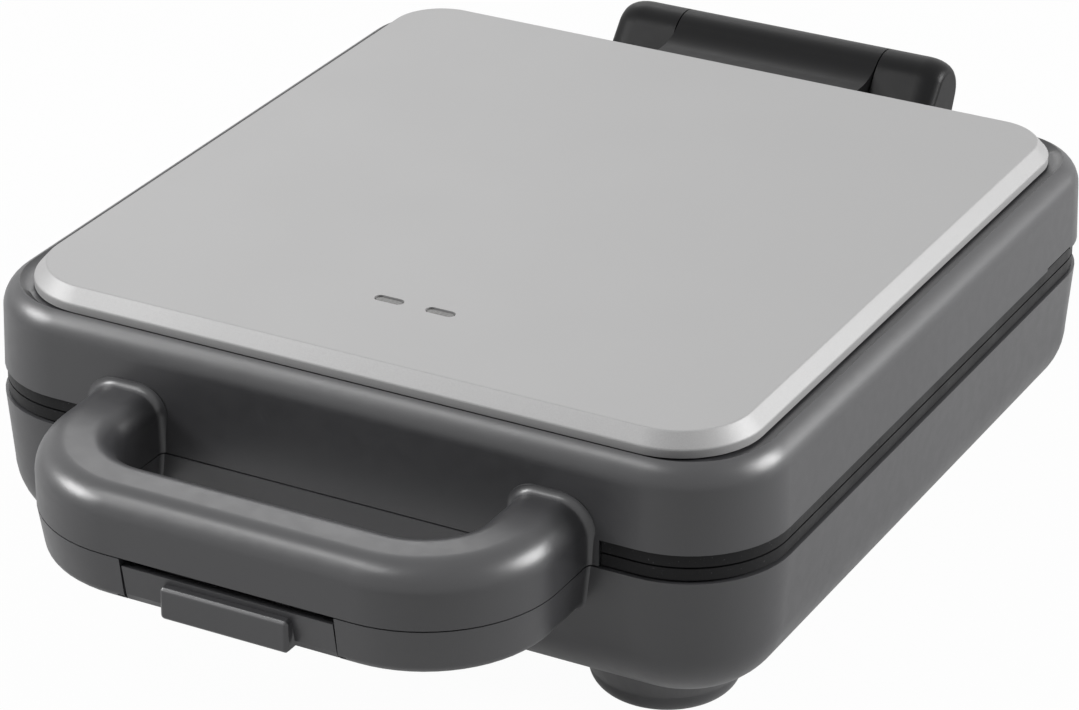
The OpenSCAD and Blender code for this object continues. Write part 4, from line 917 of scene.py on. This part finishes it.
by_slot["steel"] = worked_metal("zinc_plated_steel", (0.56, 0.57, 0.58), 0.3)
# Near-black steel for the latch's pin and spring: painted shade, so that the gap behind the latch reads
# dark.
painted_shade_steel = worked_metal("latch_pin_painted_shade", (0.05, 0.05, 0.052), 0.42, metallic=0.9)
by_slot["brass"] = worked_metal("brass", (0.68, 0.49, 0.2), 0.32, stain=(0.24, 0.13, 0.05),
                                amount=0.45)
by_slot["heating_rod"] = worked_metal("heating_rod", (0.13, 0.115, 0.1), 0.46, lines=(1, 1, 0.2),
                                      stain=(0.05, 0.055, 0.085), amount=0.8, metallic=0.85)
print("metals:", by_slot["steel"].name, painted_shade_steel.name, by_slot["brass"].name,
      by_slot["heating_rod"].name)

# %% Zinc-coated sheet
zinc_mat, tree, shader = new_material("galvanised_sheet")
shader.inputs["Metallic"].default_value = 1.0
where = add_node(tree, "TexCoord")
cells = add_node(tree, "TexVoronoi", {"Vector": where.outputs["Object"], "Scale": 150})
shade = add_node(tree, "SeparateColor", {0: cells.outputs["Color"]})
colour_by(tree, shader, shade.outputs[0], (0.46, 0.475, 0.49), (0.62, 0.635, 0.65))
rough_by(tree, shader, shade.outputs[1], 0.3, 0.5, 0, 1)
rolled = dent(tree, shader, grain_of(tree, 0.6, 3, (1, 0.06, 1)), 0.01)
dent(tree, shader, shade.outputs[2], 0.01, under=rolled)
by_slot["galvanised"] = zinc_mat
print("sheet metal:", zinc_mat.name)

# %% [markdown]
# ## Fibre, sleeves and rubber
# The insulation is a felted mineral blanket, off-white and without gloss, with long hairs in all
# directions. The wires run in sleeves of braided glass yarn: two waves at right angles give the
# braid. The rubber pads are matt, with a bloom of fine dust.

# %% Fibre blanket
fibre_mat, tree, shader = new_material("mineral_fibre")
hairs = grain_of(tree, 1.2, 8, (0.25, 1, 1))
cross = grain_of(tree, 1.5, 8, (1, 0.22, 1))
# Darker where the hairs lie deeper, from the same noise as the bump: partly the hairs' own tone, partly
# painted shade in the felt's hollows.
hair_tone_and_hollow_shade = spread(tree, hairs, 0, 1, 0.3, 0.7)
colour_by(tree, shader, hair_tone_and_hollow_shade, (0.52, 0.49, 0.43), (0.78, 0.76, 0.71))
rough_by(tree, shader, cross, 0.88, 1.0)
shader.inputs["Sheen Weight"].default_value = 0.25
felt = dent(tree, shader, hairs, 0.5)
dent(tree, shader, cross, 0.4, under=felt)
by_slot["fibre"] = fibre_mat

# %% Braided sleeve
sleeve_mat, tree, shader = new_material("braided_sleeve")
where = add_node(tree, "TexCoord")
yarn = {"Vector": where.outputs["Object"], "Scale": 260, "Distortion": 0.4}
one = add_node(tree, "TexWave", yarn, wave_type="BANDS", bands_direction="DIAGONAL")
turned = add_node(tree, "Mapping", {"Vector": where.outputs["Object"],
                                    "Rotation": (0, 0, radians(90))})
other = add_node(tree, "TexWave", {**yarn, "Vector": turned.outputs[0]}, wave_type="BANDS",
                 bands_direction="DIAGONAL")
braid = add_node(tree, "Math", {0: one.outputs["Fac"], 1: other.outputs["Fac"]},
                 operation="MAXIMUM")
colour_by(tree, shader, braid.outputs[0], (0.42, 0.40, 0.36), (0.8, 0.78, 0.73))
rough_by(tree, shader, grain_of(tree, 1), 0.6, 0.75)
dent(tree, shader, braid.outputs[0], 0.18)
by_slot["wire_sleeve"] = sleeve_mat

# %% Rubber
rubber_mat, tree, shader = new_material("rubber")
dust = spread(tree, grain_of(tree, 2, 6), 0, 1, 0.5, 0.8)
colour_by(tree, shader, dust, (0.016, 0.016, 0.017), (0.06, 0.058, 0.055))
rough_by(tree, shader, grain_of(tree, 6, 3), 0.72, 0.86)
dent(tree, shader, grain_of(tree, 0.3, 2), 0.03)
by_slot["rubber"] = rubber_mat
print("blanket, sleeves and pads:", fibre_mat.name, sleeve_mat.name, rubber_mat.name)

# %% [markdown]
# ## Dressing
# Every solid of the construction names the slot of its finish, and so does each piece modelled here.
# Dressing by slot, and not one by one, means that no part can be forgotten. The latch's pin and spring
# share the steel slot, but they get a near-black steel as painted shade, so that no bright line shows
# through the latch's gap.

# %% Dress every node and piece
slots = {part["node"]: part["material_slot"] for part in frame["record"]["subparts"]}
dressed = {frame["nodes"][node]: slot for node, slot in slots.items()}
dressed.update({bpy.data.objects[name]: slot for name, slot in finishes.items()})
for obj, slot in dressed.items():
    obj.data.materials.clear()
    obj.data.materials.append(by_slot[slot])
# The pin and spring take the near-black steel, a painted shade in the latch's gap.
for node in ("latch_pin", "latch_spring"):
    frame["nodes"][node].data.materials[0] = painted_shade_steel
print("dressed:", len(dressed), "objects in", len(by_slot), "materials")
